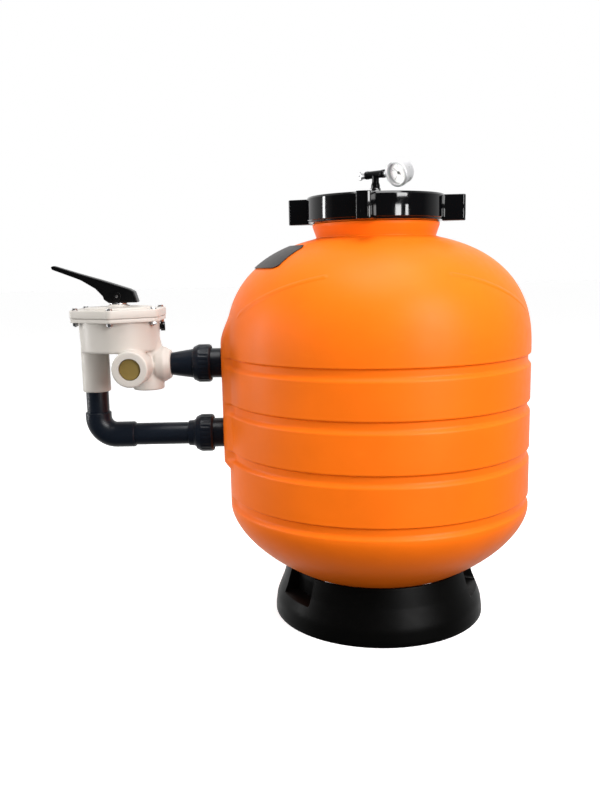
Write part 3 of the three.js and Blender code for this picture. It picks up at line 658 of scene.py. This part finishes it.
def make_lock_ring():
    band = turned([(134, RING_LOW, 1), (143.5, RING_LOW, 1), (144.5, RING_LOW + 4, 0.8),
                   (RING_R, RING_LOW + 5, 1), (RING_R, RING_HIGH - 4.5, 1.5),
                   (RING_R - 3.5, RING_HIGH, 2.5), (119, RING_HIGH, 2), (119, 897.5, 1),
                   (134, 897.5, 1)], 192, steps=4)
    plan = rounded([(140, -20.5), (LUG_REACH - 3, -14, 3), (LUG_REACH, -9, 3), (LUG_REACH, 9, 3),
                    (LUG_REACH - 3, 14, 3), (140, 20.5)], steps=4)
    flute = rounded([(LUG_REACH - 2.6, -6, 1), (LUG_REACH + 3, -7), (LUG_REACH + 3, 7),
                     (LUG_REACH - 2.6, 6, 1)])
    lug = carved(prism(plan, LUG_LOW, RING_HIGH - 2, 1.6), [prism(flute, RING_LOW + 8, RING_HIGH + 4)])
    shapes = [band] + [moved(lug, turn("Z", 90 * i)) for i in range(4)]
    piece("lock_ring", shapes, "black_plastic", "lock_ring", TANK_AXIS @ turn("Z", RING_TURN))


def make_lid():
    lid_top = high("lid_dome")[2]
    shell = turned([(8.4, 901), (60, 898, 40), (108, 893, 12), (114, 888.6, 1), (121.5, 888.6, 0.5),
                    (121.5, 891.6), (128.5, 891.6), (128.5, 888.6, 0.5), (LID_R, 888.6, 1),
                    (LID_R, 897.2, 1.5), (117, 897.2, 3), (112, 901, 6), (60, 907, 90),
                    (19, lid_top - 4, 3), (16, lid_top, 1.5), (8.4, lid_top, 0.6)], 160)
    rib = prism(np.array([(24, 0), (104, -7.5), (104, -13), (24, -6)], float), -1.4, 1.4, 0.5)
    rib = moved(rib, shift(0, 0, lid_top - 2) @ UPRIGHT)
    ribs = [moved(rib, turn("Z", 45 * i + 10)) for i in range(8)]
    piece("lid_dome", [shell] + ribs, "black_plastic", "lid", TANK_AXIS)
    seal = circle(3.1, 20, (125, 889.9)).clip((0, 888.3), (999, 891.3))
    piece("lid_o_ring", [lathe(seal, 128)], "seal_rubber", "lid", TANK_AXIS)


# Tee, bleed screw and gauge.
ARM_TURN = -45.0
GAUGE_REACH, GAUGE_TILT = 68.0, 18.5
GAUGE_R, GAUGE_DEPTH = 25.0, 28.0
ARM = TANK_AXIS @ shift(0, 0, TEE_Z) @ turn("Z", ARM_TURN)
DIAL = ARM @ shift(GAUGE_REACH) @ turn("X", 90 + GAUGE_TILT) @ shift(0, 0, GAUGE_DEPTH / 2)


def make_tee():
    seat = high("lid_dome")[2] + 0.3
    stem = turned([(0, 902), (7.9, 902, 0.5), (7.9, seat), (9.5, seat, 1), (9.5, 928, 8), (7.5, 934, 6),
                   (7.5, TEE_Z), (0, TEE_Z)], 48)
    collar = prism(polygon(12, 6, 0.8), seat, 922, 0.8)
    run = turned([(0, -15.5), (4.6, -15.5), (4.6, -25), (TEE_R, -25, 1), (TEE_R, -19, 0.6),
                  (7.9, -18, 0.6), (7.9, 18, 0.6), (TEE_R, 19, 0.6), (TEE_R, 25, 1), (4.6, 25),
                  (4.6, 17.5), (0, 17.5)], 48)
    shapes = [moved(stem, TANK_AXIS), moved(collar, TANK_AXIS @ turn("Z", 12)), moved(run, ARM @ ALONG_X)]
    piece("gauge_tee", shapes, "black_plastic", "lid")


def make_bleed_screw():
    screw = turned([(0, -44), (3, -44, 0.8), (4.5, -36, 0.6), (7, -35, 0.8), (7, -25.3, 0.8),
                    (4.2, -25.3), (4.2, -16), (0, -16)], 40)
    wing = rounded([(-35, -3, 1), (-37.5, -8.6, 2.5), (-44, -9, 3), (-46, -5, 2), (-43, 0, 3),
                    (-46, 5, 2), (-44, 9, 3), (-37.5, 8.6, 2.5), (-35, 3, 1)])
    shapes = [moved(screw, ALONG_X), moved(prism(wing, -1.9, 1.9, 0.8), UPRIGHT)]
    piece("bleed_screw", shapes, "bright_metal", "bleed_screw", ARM)


def ticks():
    """The dial's scale: long and short marks over 270 degrees, as thin raised strips."""
    marks = []
    for i in range(41):
        long = i % 10 == 0
        inner, half = (15.2, 0.42) if long else (17.6 if i % 5 else 16.6, 0.2)
        outline = np.array([(inner, -half), (19.6, -half), (19.6, half), (inner, half)])
        marks.append(moved(prism(outline, -6.2, -6.02), turn("Z", -45 + 270 * i / 40)))
    return marks


def dial_numbers():
    """Plain numbers 0 to 4 beside the long marks, as thin raised text."""
    made = []
    for i in range(5):
        angle = math.radians(225 - 270 * i / 4)
        curve = bpy.data.curves.new("number", "FONT")
        curve.body, curve.size, curve.extrude = str(i), 4.6 * MM, 0.09 * MM
        curve.align_x = curve.align_y = "CENTER"
        curve.resolution_u = 4
        text = new_object("number", curve)
        graph = bpy.context.evaluated_depsgraph_get()
        mesh = bpy.data.meshes.new_from_object(text.evaluated_get(graph))
        bpy.data.objects.remove(text)
        place = shift(12.2 * math.cos(angle), 12.2 * math.sin(angle), -6.11)
        made.append(moved(shape_of(mesh), place))
    return made


def make_gauge():
    cup = turned([(0, -GAUGE_DEPTH), (GAUGE_R - 2, -GAUGE_DEPTH, 2.5), (GAUGE_R, -GAUGE_DEPTH + 5, 3),
                  (GAUGE_R, 0, 0.4), (22, 0, 0.4), (22, -8), (0, -8)], 96)
    stem = turned([(0, -50), (4.3, -50), (4.3, -42.7), (5, -42.7), (5, -38, 0.4), (8, -38, 0.8),
                   (8, -31, 0.8), (5, -31, 0.4), (5, -23), (0, -23)], 36)
    shapes = [cup, moved(stem, shift(0, 0, -GAUGE_DEPTH / 2) @ ALONG_X)]
    piece("gauge_case", shapes, "bright_metal", "lid", DIAL)

    def knurl(r, z, angle):
        edge = smooth((r - 25.9) / 0.6)
        return r - 0.55 * edge * smooth(1.4 * np.cos(60 * angle)), z

    bezel = rounded([(25.4, -6, 0.3), (27, -6, 0.6), (27, 3.2, 0.8), (25.6, 5, 1), (21.2, 5, 0.6),
                     (20.5, 4.2, 0.4), (20.5, 2.8), (25.4, 2.8)])
    piece("gauge_bezel", [lathe(divided(bezel, 1.5), 480, knurl)], "bright_metal", "lid", DIAL)
    lens = turned([(0, 0.3), (24.6, 0.3, 0.3), (24.6, 2.4, 0.6), (12, 2.6, 30), (0, 2.65)], 72)
    piece("gauge_lens", [lens], "gauge_glass", "lid", DIAL)
    face = turned([(1.6, -7.6), (21.6, -7.6), (21.6, -6.2, 0.3), (1.6, -6.2)], 72)
    piece("gauge_dial", [face], "dial_face", "lid", DIAL)
    piece("dial_marks", ticks() + dial_numbers(), "dial_face", "lid", DIAL, material=DIAL_INK, nodes=[])
    hub = turned([(0, -7.5), (1.3, -7.5), (1.3, -5.6), (3.2, -5.6, 0.2), (3.2, -4.6, 0.4), (1.3, -4.6),
                  (1.3, -3.2, 0.5), (0, -3)], 32)
    needle = prism(rounded([(-1.4, -6, 0.8), (1.4, -6, 0.8), (0.75, 0), (0.25, 16, 0.1), (-0.25, 16, 0.1),
                            (-0.75, 0)]), -5.5, -4.9, 0.12)
    piece("gauge_pointer", [hub, needle], "black_plastic", "gauge_pointer", DIAL @ turn("Z", 45))


make_label()
make_lock_ring()
make_lid()
make_tee()
make_bleed_screw()
make_gauge()


# Selector valve.
COVER_APOTHEM, COVER_CORNER = 94.0, 14.0
BOLT_CIRCLE = 95.0
BOWL_LOW_R, BOWL_R, BOWL_BOTTOM = 83.2, 86.5, 590.0
PORTS_Z, PORT_FACE = UPPER_Z, 100.0
SIDE_PORTS_X = middle("front_port_plug")[0] - VALVE_X
PORT_BORE = 23.0
DROP_X, DROP_BOTTOM = middle("drop_pipe")[0] - VALVE_X, low("valve_body")[2]
WASTE_X, WASTE_BOTTOM = 57.0, 505.0
PIN_Z = middle("handle_pin")[2]
COVER_THICKNESS, STEM_HOLE_R, PIN_HOLE_R = 17.7, 10.5, 3.3
DECK = COVER_LOW + COVER_THICKNESS
CORNER_TURNS = math.pi / 6 + np.arange(6) * TAU / 6
CORNERS = [(BOLT_CIRCLE * math.cos(a), BOLT_CIRCLE * math.sin(a)) for a in CORNER_TURNS]
AT_PIN = shift(0, 0, PIN_Z) @ ALONG_Y
SIDE_PORTS = shift(SIDE_PORTS_X, 0, PORTS_Z) @ ALONG_Y
OUTLET = shift(0, 0, PORTS_Z) @ ALONG_X


def hexagon(apothem):
    """The cover's outline: one corner towards -Y and flats towards +X and -X."""
    return polygon(apothem / math.cos(math.pi / 6), 6, COVER_CORNER, math.pi / 6, 6)


def make_valve_body():
    """The casting's bowl and ports melt into one skin; its flange, seats and bores are cut clean."""
    bowl = turned([(0, BOWL_BOTTOM), (BOWL_LOW_R, BOWL_BOTTOM, 5), (BOWL_R, BOWL_TOP - 5),
                   (0, BOWL_TOP - 5)], 128)
    neck = turned([(0, DROP_BOTTOM), (30, DROP_BOTTOM, 1.5), (30, 600), (0, 600)], 96)
    waste = turned([(0, WASTE_BOTTOM), (34, WASTE_BOTTOM, 1.5), (34, 592, 30), (28, 620, 14),
                    (16, 640, 4), (0, 641)], 96)
    cross = turned([(0, -PORT_FACE), (38, -PORT_FACE, 2), (38, PORT_FACE, 2), (0, PORT_FACE)], 96)
    outlet = turned([(0, 20), (35, 20), (35, 76, 1), (38, 77.5, 1), (38, 95, 3), (30, 109, 1.5),
                     (0, 109)], 96)
    shapes = [bowl, moved(neck, shift(DROP_X)), moved(waste, shift(WASTE_X)),
              moved(cross, SIDE_PORTS), moved(outlet, OUTLET)]
    body = new_object("valve_body_look", mesh_of("valve_body", [moved(s, VALVE_AXIS) for s in shapes]))
    moulded(body, 1.7, 6)
    bores = [
        lathe([(0, 598), (72, 598), (79, BOWL_TOP + 2), (0, BOWL_TOP + 2)], 96),
        moved(rod(24.6, DROP_BOTTOM - 2, 534, 64), shift(DROP_X)),
        moved(rod(PORT_BORE, WASTE_BOTTOM - 2, 530, 64), shift(WASTE_X)),
        moved(rod(PORT_BORE, 42, PORT_FACE + 2, 64), SIDE_PORTS),
        moved(rod(PORT_BORE, -PORT_FACE - 2, -42, 64), SIDE_PORTS),
        moved(rod(PORT_BORE, 58, 111, 64), OUTLET),
    ]
    cut(body, [moved(bore, VALVE_AXIS) for bore in bores])
    opening = rod(78.8, BOWL_TOP - 10, BOWL_TOP + 2, 96)
    holes = [moved(rod(3.4, BOWL_TOP - 10, BOWL_TOP + 2, 24), shift(x, y)) for x, y in CORNERS]
    plate = prism(hexagon(COVER_APOTHEM - 1), BOWL_TOP - 8, BOWL_TOP, 0.8)
    flange = carved(plate, [opening] + holes)
    join(body, [moved(flange, VALVE_AXIS)] + port_threads())
    finish_piece(body, MATERIALS["valve_plastic"], "tank", ["valve_body"])


def port_threads():
    """Fine thread ridges just inside each open port."""
    spots = [(SIDE_PORTS, PORT_FACE - 3, -1, 8), (SIDE_PORTS, -74, 1, 7),
             (shift(WASTE_X), WASTE_BOTTOM + 3, 1, 7)]
    root, crest, pitch = PORT_BORE + 0.6, PORT_BORE - 0.55, 2.3
    rings = []
    for place, start, way, count in spots:
        for level in start + way * pitch * np.arange(count):
            ridge = [(root, level - 1), (crest, level - 0.2), (crest, level + 0.2), (root, level + 1)]
            rings.append(moved(lathe(ridge, 72), VALVE_AXIS @ place))
    return rings


def make_cover():
    top = high("valve_cover")[2]
    plate = prism(hexagon(COVER_APOTHEM), COVER_LOW, DECK, 2.2, 4)
    pocket = turned([(0, DECK - 0.1), (8.2, DECK - 0.1), (8.2, DECK + 3), (0, DECK + 3)], 40)
    inside = COVER_LOW + 6.7
    hollow = turned([(0, COVER_LOW - 2), (76, COVER_LOW - 2), (76, inside, 2), (0, inside)], 96)
    cuts = [hollow, rod(STEM_HOLE_R, COVER_LOW, DECK + 1, 64)]
    cuts += [moved(pocket, shift(x, y)) for x, y in CORNERS]
    rise = turned([(60, DECK - 2), (74.5, DECK - 2), (73.6, DECK + 1.2, 1), (71.5, DECK + 3.2, 1.5),
                   (66, DECK + 4, 8), (24, DECK + 5, 2), (21, top - 1.5, 1.5), (19, top, 1.2),
                   (10.3, top, 0.6), (10.3, DECK - 3)], 128)
    index = prism(rounded([(30, -1.1), (62, -1.1), (62, 1.1), (30, 1.1)]), DECK + 3.2, DECK + 4.85, 0.3)
    added = [rise] + [moved(index, turn("Z", 60 * i)) for i in range(6)]
    piece("valve_cover", [plate], "valve_plastic", "tank", VALVE_AXIS, cuts, added=added)


def make_bolts():
    head = prism(polygon(6, 6, 0.4), DECK + 0.2, DECK + 4, 0.7)
    nut = prism(polygon(6.5, 6, 0.4), 648, BOWL_TOP - 8.3, 0.7)
    shank = turned([(0, 646), (2.4, 646, 0.3), (3, 647, 0.3), (3, DECK + 1), (0, DECK + 1)], 24)
    seat, rim = DECK + 0.02, DECK + 0.6
    washer = turned([(3.2, seat), (7.2, seat, 0.2), (7.2, rim, 0.2), (3.2, rim)], 40)
    for i, (x, y) in enumerate(CORNERS):
        place = VALVE_AXIS @ shift(x, y) @ turn("Z", 17 * i)
        piece(f"cover_bolt_{i + 1}", [head, nut, shank, washer], "steel", "tank", place)


def handle_outline():
    tip, foot = low("handle")[0] - VALVE_X, low("handle")[2]
    return rounded([(-18, foot, 1.2), (44, foot, 2), (37, 717, 5), (26, 723, 6), (-31, 742, 40),
                    (-80, 757, 60), (-132, 774, 4), (tip, 772, 2.5), (-136, 766, 3), (-76, 743, 60),
                    (-45, 724, 20), (-30, 708, 10), (-28, 701, 2)], steps=6)


def make_handle():
    """A lever: a forked hub with a cheek each side of the stem, and a tapered grip, hollow below."""
    points, faces = moved(prism(handle_outline(), -16, 16, 2.4, 4), UPRIGHT)
    reach = (-20 - points[:, 0]).clip(0) / 130
    points[:, 1] *= 1 - 0.5 * reach.clip(0, 1)
    fork = prism(rounded([(-19, 680), (19, 680), (19, 719, 1.5), (-19, 719, 1.5)]), -10.4, 10.4)
    underside = np.array([(-126, 764.8), (-78, 744.8), (-50, 731), (-50, 690), (-126, 690)])
    hollow = prism(underside, -5.2, 5.2)
    cuts = [moved(fork, UPRIGHT), moved(hollow, UPRIGHT), moved(rod(PIN_HOLE_R, -30, 30, 24), AT_PIN)]
    bosses = []
    for s in (-1, 1):
        boss = [(PIN_HOLE_R, s * 15), (9.5, s * 15), (9.5, s * 16.9, 0.6), (PIN_HOLE_R, s * 16.9, 0.5)]
        bosses.append(moved(turned(boss, 48), AT_PIN))
    piece("handle", [(points, faces)], "black_plastic", "handle", VALVE_AXIS, cuts, LEVER_BLACK,
          added=bosses)


def make_valve_fittings():
    washer = turned([(10.8, 690.3, 0.4), (19, 690.3, 0.6), (19, 693, 0.6), (10.8, 693, 0.4)], 72)
    piece("handle_washer", [washer], "steel", "selector", VALVE_AXIS)
    pin = turned([(0, -16.5), (3, -16.5, 0.5), (3, 16.5, 0.5), (0, 16.5)], 32)
    piece("handle_pin", [pin], "steel", "rotor", VALVE_AXIS @ AT_PIN)
    plug = turned([(0, 78), (6.7, 78), (6.7, 87.5), (10, 87.5, 0.8), (10, 97, 1), (3.6, 97, 0.4),
                   (3.6, 93), (0, 93)], 40)
    place = VALVE_AXIS @ shift(0, 0, middle("gauge_port_plug")[2]) @ turn("Z", 10) @ ALONG_X
    piece("gauge_port_plug", [plug], "black_plastic", "tank", place)
    cap = turned([(0, -95), (21, -95, 1.2), (22.6, -93, 0.6), (22.6, -76, 0.4), (20, -76, 0.4),
                  (20, -92, 0.6), (0, -92)], 72)
    piece("front_port_plug", [cap], "port_plug_plastic", "front_port_plug", VALVE_AXIS @ SIDE_PORTS)
    ring = circle(1.9, 16, (84, 661.9)).clip((0, 660.2), (999, 663.1))
    piece("cover_o_ring", [lathe(ring, 96)], "seal_rubber", "tank", VALVE_AXIS)


make_valve_body()
make_cover()
make_bolts()
make_handle()
make_valve_fittings()


# Pipework.
PIPE_R, PIPE_BORE, SOCKET_R = 24.15, 20.5, 24.6
ELBOW_R, ELBOW_BEND, ELBOW_CHAMFER = 28.0, 40.0, 1.2
UNION_R = 41.0
UNION_FACE = low("upper_bulkhead")[0] - TANK_X
FLANGE_BACK, FLANGE_FRONT = UNION_FACE - 6.6, UNION_FACE - 0.3


def port_piece(name, outline, z, segments=96, slot="black_plastic", material=PIPE_BLACK):
    """A piece of the tank turned about a port's line, in distances from the tank's axis."""
    place = TANK_AXIS @ shift(0, 0, z) @ ALONG_X
    return piece(name, [turned(outline, segments)], slot, "tank", place, material=material)


def make_union(side, z, body):
    """One tank port: bulkhead fitting, gasket, inside nut, union nut and its O-ring."""
    place = TANK_AXIS @ shift(0, 0, z) @ ALONG_X
    land, face = -PAD_REACH - 3, UNION_FACE
    outline = [(20, -296), (28, -296, 1), (28, land), (32, land, 0.6), (32, face + 21.7, 1),
               (36, face + 20.7, 0.8), (36, face, 0.5), (31, face), (31, face + 2.4), (27, face + 2.4),
               (27, face), (20, face)]
    port_piece(f"{side}_bulkhead", outline, z)
    gasket = [(28.4, land + 0.3, 0.4), (34, land + 0.3, 0.8), (34, land + 2.7, 0.8),
              (28.4, land + 2.7, 0.4)]
    port_piece(f"{side}_bulkhead_gasket", gasket, z, slot="seal_rubber", material=None)
    nut = prism(polygon(44, 8, 2, steps=3), -321.7, -309, 1)
    bore = rod(28.4, -330, -300, 64)
    piece(f"{side}_bulkhead_nut", [nut], "black_plastic", "tank", place, [bore], PIPE_BLACK)
    seal = circle(1.7, 16, (29, face + 1.0)).clip((0, face - 0.1), (99, face + 2.1))
    piece(f"{side}_union_o_ring", [lathe(seal, 72)], "seal_rubber", "tank", place)

    def ribs(r, places, angle):
        barrel = smooth((places - face + 2) / 4) * smooth((face + 21 - places) / 4) * (r > 38)
        return r - 0.7 * barrel * smooth(1.6 * np.cos(24 * angle) - 0.2), places

    ring = rounded([(32.6, -397, 0.5), (35.6, -397, 2), (UNION_R, -386, 6), (UNION_R, -363, 3),
                    (UNION_R - 2.2, -359, 2), (36.8, -359, 0.5), (36.8, -390.6), (32.6, -390.6)])
    nut = lathe(divided(ring, 3), 192, ribs)
    piece(f"{side}_union_nut", [nut], "black_plastic", body, place, material=PIPE_BLACK)


def make_pipes():
    flange = [(31.8, FLANGE_BACK, 0.5), (35.8, FLANGE_BACK, 0.5), (35.8, FLANGE_FRONT, 0.3)]
    start = low("upper_adaptor")[0] - TANK_X
    adaptor = [(19, start), (22.6, start, 0.4), (22.6, -445.5, 0.4), (24.4, -444.5, 1), (27.0, -428, 60),
               (30.6, -404, 20), (31.6, -399, 3)] + flange + [(19, FLANGE_FRONT)]
    port_piece("upper_adaptor", adaptor, UPPER_Z)
    tail = [(SOCKET_R, -414, 0.4), (27.5, -414, 1.5), (28.6, -402, 4), (31.6, -398, 1)]
    tail += flange + [(20, FLANGE_FRONT), (20, -394), (SOCKET_R, -394)]
    port_piece("lower_union_tail", tail, LOWER_Z)
    corner = VALVE_X + DROP_X
    top, end = high("elbow")[2], high("elbow")[0]
    angles = np.linspace(0, TAU / 4, 25)
    across, down = corner + ELBOW_BEND * (1 - np.cos(angles)), LOWER_Z + ELBOW_BEND * (1 - np.sin(angles))
    bend = [(x, 0, z) for x, z in zip(across, down)]
    path = [(corner, 0, top - reach) for reach in (0, 1.5, 6)] + bend
    path += [(end - reach, 0, LOWER_Z) for reach in (6, 1.5, 0)]
    count = 72
    points, faces = tube_along(path, (ELBOW_R, SOCKET_R), count)
    for row in (0, len(path) - 1):
        ring = slice(row * count, (row + 1) * count)
        points[ring] = path[row] + (points[ring] - path[row]) * (1 - ELBOW_CHAMFER / ELBOW_R)
    piece("elbow", [(points, faces)], "black_plastic", "tank", material=PIPE_BLACK)
    near, far = low("lower_pipe")[0] - TANK_X, high("lower_pipe")[0] - TANK_X
    port_piece("lower_pipe", pipe_outline(near, far), LOWER_Z, 72)
    drop = turned(pipe_outline(low("drop_pipe")[2], high("drop_pipe")[2]), 72)
    piece("drop_pipe", [drop], "black_plastic", "tank", shift(corner), material=PIPE_BLACK)


def pipe_outline(start, end):
    return [(PIPE_BORE, start), (PIPE_R, start, 0.5), (PIPE_R, end, 0.5), (PIPE_BORE, end)]


make_union("upper", UPPER_Z, "upper_union_nut")
make_union("lower", LOWER_Z, "lower_union_nut")
make_pipes()


# Rotor, spring and spider gasket.
def make_rotor():
    disc = turned([(0, 602), (69.5, 602, 0.6), (70.5, 612, 0.8), (17, 612, 3), (16, 640, 1),
                   (9.7, 644, 2), (9.7, 715, 1.2), (0, 715)], 128)
    cuts = [moved(rod(15, 600, 614, 48), shift(-46)), moved(rod(PIN_HOLE_R, -20, 20, 24), AT_PIN)]
    piece("rotor", [disc], "valve_plastic", "rotor", VALVE_AXIS, cuts)


def make_spring(r=23.0, wire=2.5, turns=5, start=615.2, end=666.8, steps=40, sides=14):
    angle = np.linspace(0, turns * TAU, turns * steps + 1)
    height = np.linspace(start, end, len(angle))
    centre = np.column_stack([r * np.cos(angle), r * np.sin(angle), height])
    out = np.column_stack([np.cos(angle), np.sin(angle), np.zeros(len(angle))])
    around = (np.arange(sides) * TAU / sides)[None, :, None]
    order = np.arange(len(angle))
    tip = np.sqrt((1 - (1 - np.minimum(order, order[::-1]) / 3).clip(0) ** 2))
    section = np.cos(around) * out[:, None] + np.sin(around) * np.array([0, 0, 1.0])
    ring = wire * tip.clip(0.2)[:, None, None] * section
    faces = grid_faces(len(angle), sides, False)
    faces += [list(range(sides)), list(range((len(angle) - 1) * sides, len(angle) * sides))]
    shape = (centre[:, None] + ring).reshape(-1, 3), faces
    coil = piece("rotor_spring", [shape], "steel", "rotor", VALVE_AXIS)
    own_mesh(coil)


def make_spider():
    windows = []
    for i in range(6):
        sweep = np.radians(60 * i + np.linspace(-24, 24, 17))
        arc = np.column_stack([np.cos(sweep), np.sin(sweep)])
        windows.append(prism(np.concatenate([65 * arc, 20 * arc[::-1]]), 596, 604))
    plate = prism(circle(70.5, 144), 598.3, 601.5, 0.4)
    piece("spider_gasket", [plate], "seal_rubber", "tank", VALVE_AXIS, windows)


make_rotor()
make_spring()
make_spider()


# Drain.
def make_drain():
    place = TANK_AXIS @ shift(0, 0, DRAIN_Z) @ ALONG_Y
    face = DRAIN_FACE + 0.3
    spigot = [(8, 220), (14, 220), (14, face), (22, face, 0.6), (22, face + 6, 0.8), (16, face + 6)]
    for k in range(6):
        level = face + 8 + 2.8 * k
        spigot += [(16, level), (16.5, level + 1), (16, level + 2)]
    spigot += [(16, face + 26, 0.5), (8, face + 26, 0.5)]
    piece("drain_spigot", [turned(spigot, 72)], "black_plastic", "tank", place, material=PIPE_BLACK)
    back = DRAIN_FACE + 33

    def ribs(r, places, angle):
        side = smooth((places - back + 25) / 2) * smooth((back - 3 - places) / 2) * (r > 19)
        return r - 0.8 * side * smooth(1.6 * np.cos(20 * angle)), places

    cap = turned([(0, back - 6), (17.3, back - 6), (17.3, back - 26, 0.5), (21, back - 26, 1),
                  (21, back - 20), (21, back - 12), (21, back - 6), (21, back - 2), (18.5, back, 1.5),
                  (8, back, 1), (7, back - 1.5, 1), (0, back - 1.5)], 160, ribs)
    piece("drain_cap", [cap], "black_plastic", "drain_cap", place)


make_drain()


# Inside the tank.
HUB_TOP, LATERAL_Z, LATERALS = high("lateral_hub")[2], middle("lateral_1")[2], 8
INNER_BEND = 50.0


def bent_pipe(name, height, end):
    """A pipe from a port's inside to the tank's axis, then up or down along it."""
    way = math.copysign(1, end - height)
    angles = np.linspace(0, TAU / 4, 19)
    across, up = INNER_BEND * (np.sin(angles) - 1), height + way * INNER_BEND * (1 - np.cos(angles))
    bend = [(x, 0, z) for x, z in zip(across, up)]
    path = [(-315, 0, height), (-180, 0, height)] + bend + [(0, 0, end)]
    piece(name, [tube_along(path, (PIPE_R, PIPE_BORE), 56)], "inner_plastic", "tank", TANK_AXIS)


def make_diffuser():
    cone = turned([(24.6, 662, 0.6), (28.5, 662, 0.8), (28.5, 694, 6), (80, 730, 5), (80, 744, 1),
                   (77, 744, 1), (77, 732, 4), (21, 694, 3), (21, 690.5), (24.6, 690.5)], 128)
    rib = prism(rounded([(34, 704.2), (77.5, 732.4), (77.5, 738, 2), (70, 738, 3), (34, 709, 2)]), -1,
                1, 0.3)
    shapes = [cone] + [moved(rib, turn("Z", 30 * i + 15) @ UPRIGHT) for i in range(12)]
    piece("top_diffuser", shapes, "inner_plastic", "tank", TANK_AXIS)


def make_hub():
    shell = turned([(0, 118), (42, 118, 2), (42, 166, 4), (29, 166, 3), (29, HUB_TOP, 1),
                    (24.6, HUB_TOP, 0.6), (24.6, HUB_TOP - 24.5), (20, HUB_TOP - 24.5), (20, 160),
                    (28, 160), (28, 128), (0, 128)], 96)
    bores = [moved(rod(11.2, 25, 45, 32), arm_place(i)) for i in range(LATERALS)]
    piece("lateral_hub", [shell], "inner_plastic", "tank", TANK_AXIS, bores)


def arm_place(i):
    return shift(0, 0, LATERAL_Z) @ turn("Z", 360 * i / LATERALS) @ ALONG_X


def make_laterals(r=10.6, slit=1.4, pitch=4.0):
    profile = [(0, 30), (r - 0.6, 30), (r, 30.6)]
    for x in np.arange(52, 190, pitch):
        profile += [(r, x), (r - slit, x + 0.15), (r - slit, x + 0.75), (r, x + 0.9)]
    profile += [(r, 196), (r - 2.6, 200), (0, 200)]
    for i in range(LATERALS):
        piece(f"lateral_{i + 1}", [lathe(profile, 32)], "inner_plastic", "tank", TANK_AXIS @ arm_place(i))


bent_pipe("inlet_pipe", UPPER_Z, high("inlet_pipe")[2])
bent_pipe("outlet_pipe", LOWER_Z, low("outlet_pipe")[2])
make_diffuser()
make_hub()
make_laterals()


# Studio.
FLOOR_REACH = 30.0


def stage_floor():
    mesh = bpy.data.meshes.new("floor")
    corners = [(-1, -1, 0), (1, -1, 0), (1, 1, 0), (-1, 1, 0)]
    mesh.from_pydata([Vector(corner) * FLOOR_REACH for corner in corners], [], [(0, 1, 2, 3)])
    floor = new_object("floor", mesh)
    material = bpy.data.materials.new("pale_floor")
    n = Nodes(material)
    grey = n.mix(n.noise(3), (0.90, 0.90, 0.90, 1), (0.93, 0.93, 0.93, 1))
    n.set({"Base Color": grey, "Roughness": 0.9, "Specular IOR Level": 0.1})
    n.set({"Emission Color": (1, 1, 1, 1), "Emission Strength": 0.66})
    mesh.materials.append(material)
    floor.visible_diffuse = False
    floor.visible_glossy = False


def studio_light(name, azimuth, elevation, size, power, distance=2.6, aim=(0.1, 0, 0.55),
                 glossy=True, spread=180.0):
    """A soft box at an azimuth, to the right of the camera's side, and an elevation from the object."""
    data = bpy.data.lights.new(name, "AREA")
    data.shape, data.size, data.size_y, data.energy = "RECTANGLE", size[0], size[1], power
    data.spread = math.radians(spread)
    lamp = new_object(name, data)
    a, e = math.radians(azimuth), math.radians(elevation)
    way = Vector((math.sin(a) * math.cos(e), -math.cos(a) * math.cos(e), math.sin(e)))
    lamp.location = Vector(aim) + way * distance
    lamp.rotation_euler = way.to_track_quat("Z", "Y").to_euler()
    lamp.visible_camera = False
    lamp.visible_glossy = glossy


def studio_world():
    """White to the camera; for light and reflections, bright behind the object and dimmer in front."""
    world = bpy.data.worlds.new("studio")
    bpy.context.scene.world = world
    n = Nodes(world, "Background")
    way = n.add("ShaderNodeSeparateXYZ", {"Vector": n.coordinates["Generated"]}).outputs["Y"]
    inputs = {"Value": way, "From Min": -0.2, "From Max": 0.9, "To Min": 0.06, "To Max": 1.0}
    fade = n.add("ShaderNodeMapRange", inputs).outputs["Result"]
    seen = n.add("ShaderNodeLightPath").outputs["Is Camera Ray"]
    n.set({"Strength": n.maths("MAXIMUM", fade, seen), "Color": (1, 1, 1, 1)})


def camera():
    """The viewing angle: the eye's place from the tank's axis, in tank radii, then pitch and roll."""
    data = bpy.data.cameras.new("camera")
    eye = new_object("camera", data)
    data.sensor_width, data.lens = 36.0, 37.35
    r = TANK_R * MM
    eye.location = (TANK_X * MM - 0.518 * r, -5.535 * r, 2.351 * r)
    eye.rotation_mode = "QUATERNION"
    pitch, roll = 9.19, 1.17
    eye.rotation_quaternion = (turn("X", 90 - pitch) @ turn("Z", -roll)).to_quaternion()
    bpy.context.scene.camera = eye


stage_floor()
studio_world()
studio_light("soft_right", 38, 28, (0.75, 1.3), 51)
studio_light("strip_right_wide", 31.5, 3.5, (0.40, 0.5), 12)
studio_light("strip_right_thin", 45.5, 3.5, (0.20, 0.5), 6)
studio_light("strip_left", -96, 6, (0.24, 1.5), 22)
studio_light("overhead", 20, 76, (1.8, 1.8), 60)
studio_light("fill_left", -70, 10, (2.4, 2.2), 44, 3.4, glossy=False)
studio_light("fill_low", 0, -14, (2.0, 0.16), 5.5, 1.9, glossy=False)
gauge_place = DIAL.to_translation() * MM
studio_light("gauge_spot", ARM_TURN, 0, (0.05, 0.05), 0.018, 0.4, gauge_place, False, 16.0)
camera()
bpy.context.scene.view_settings.view_transform = "Standard"
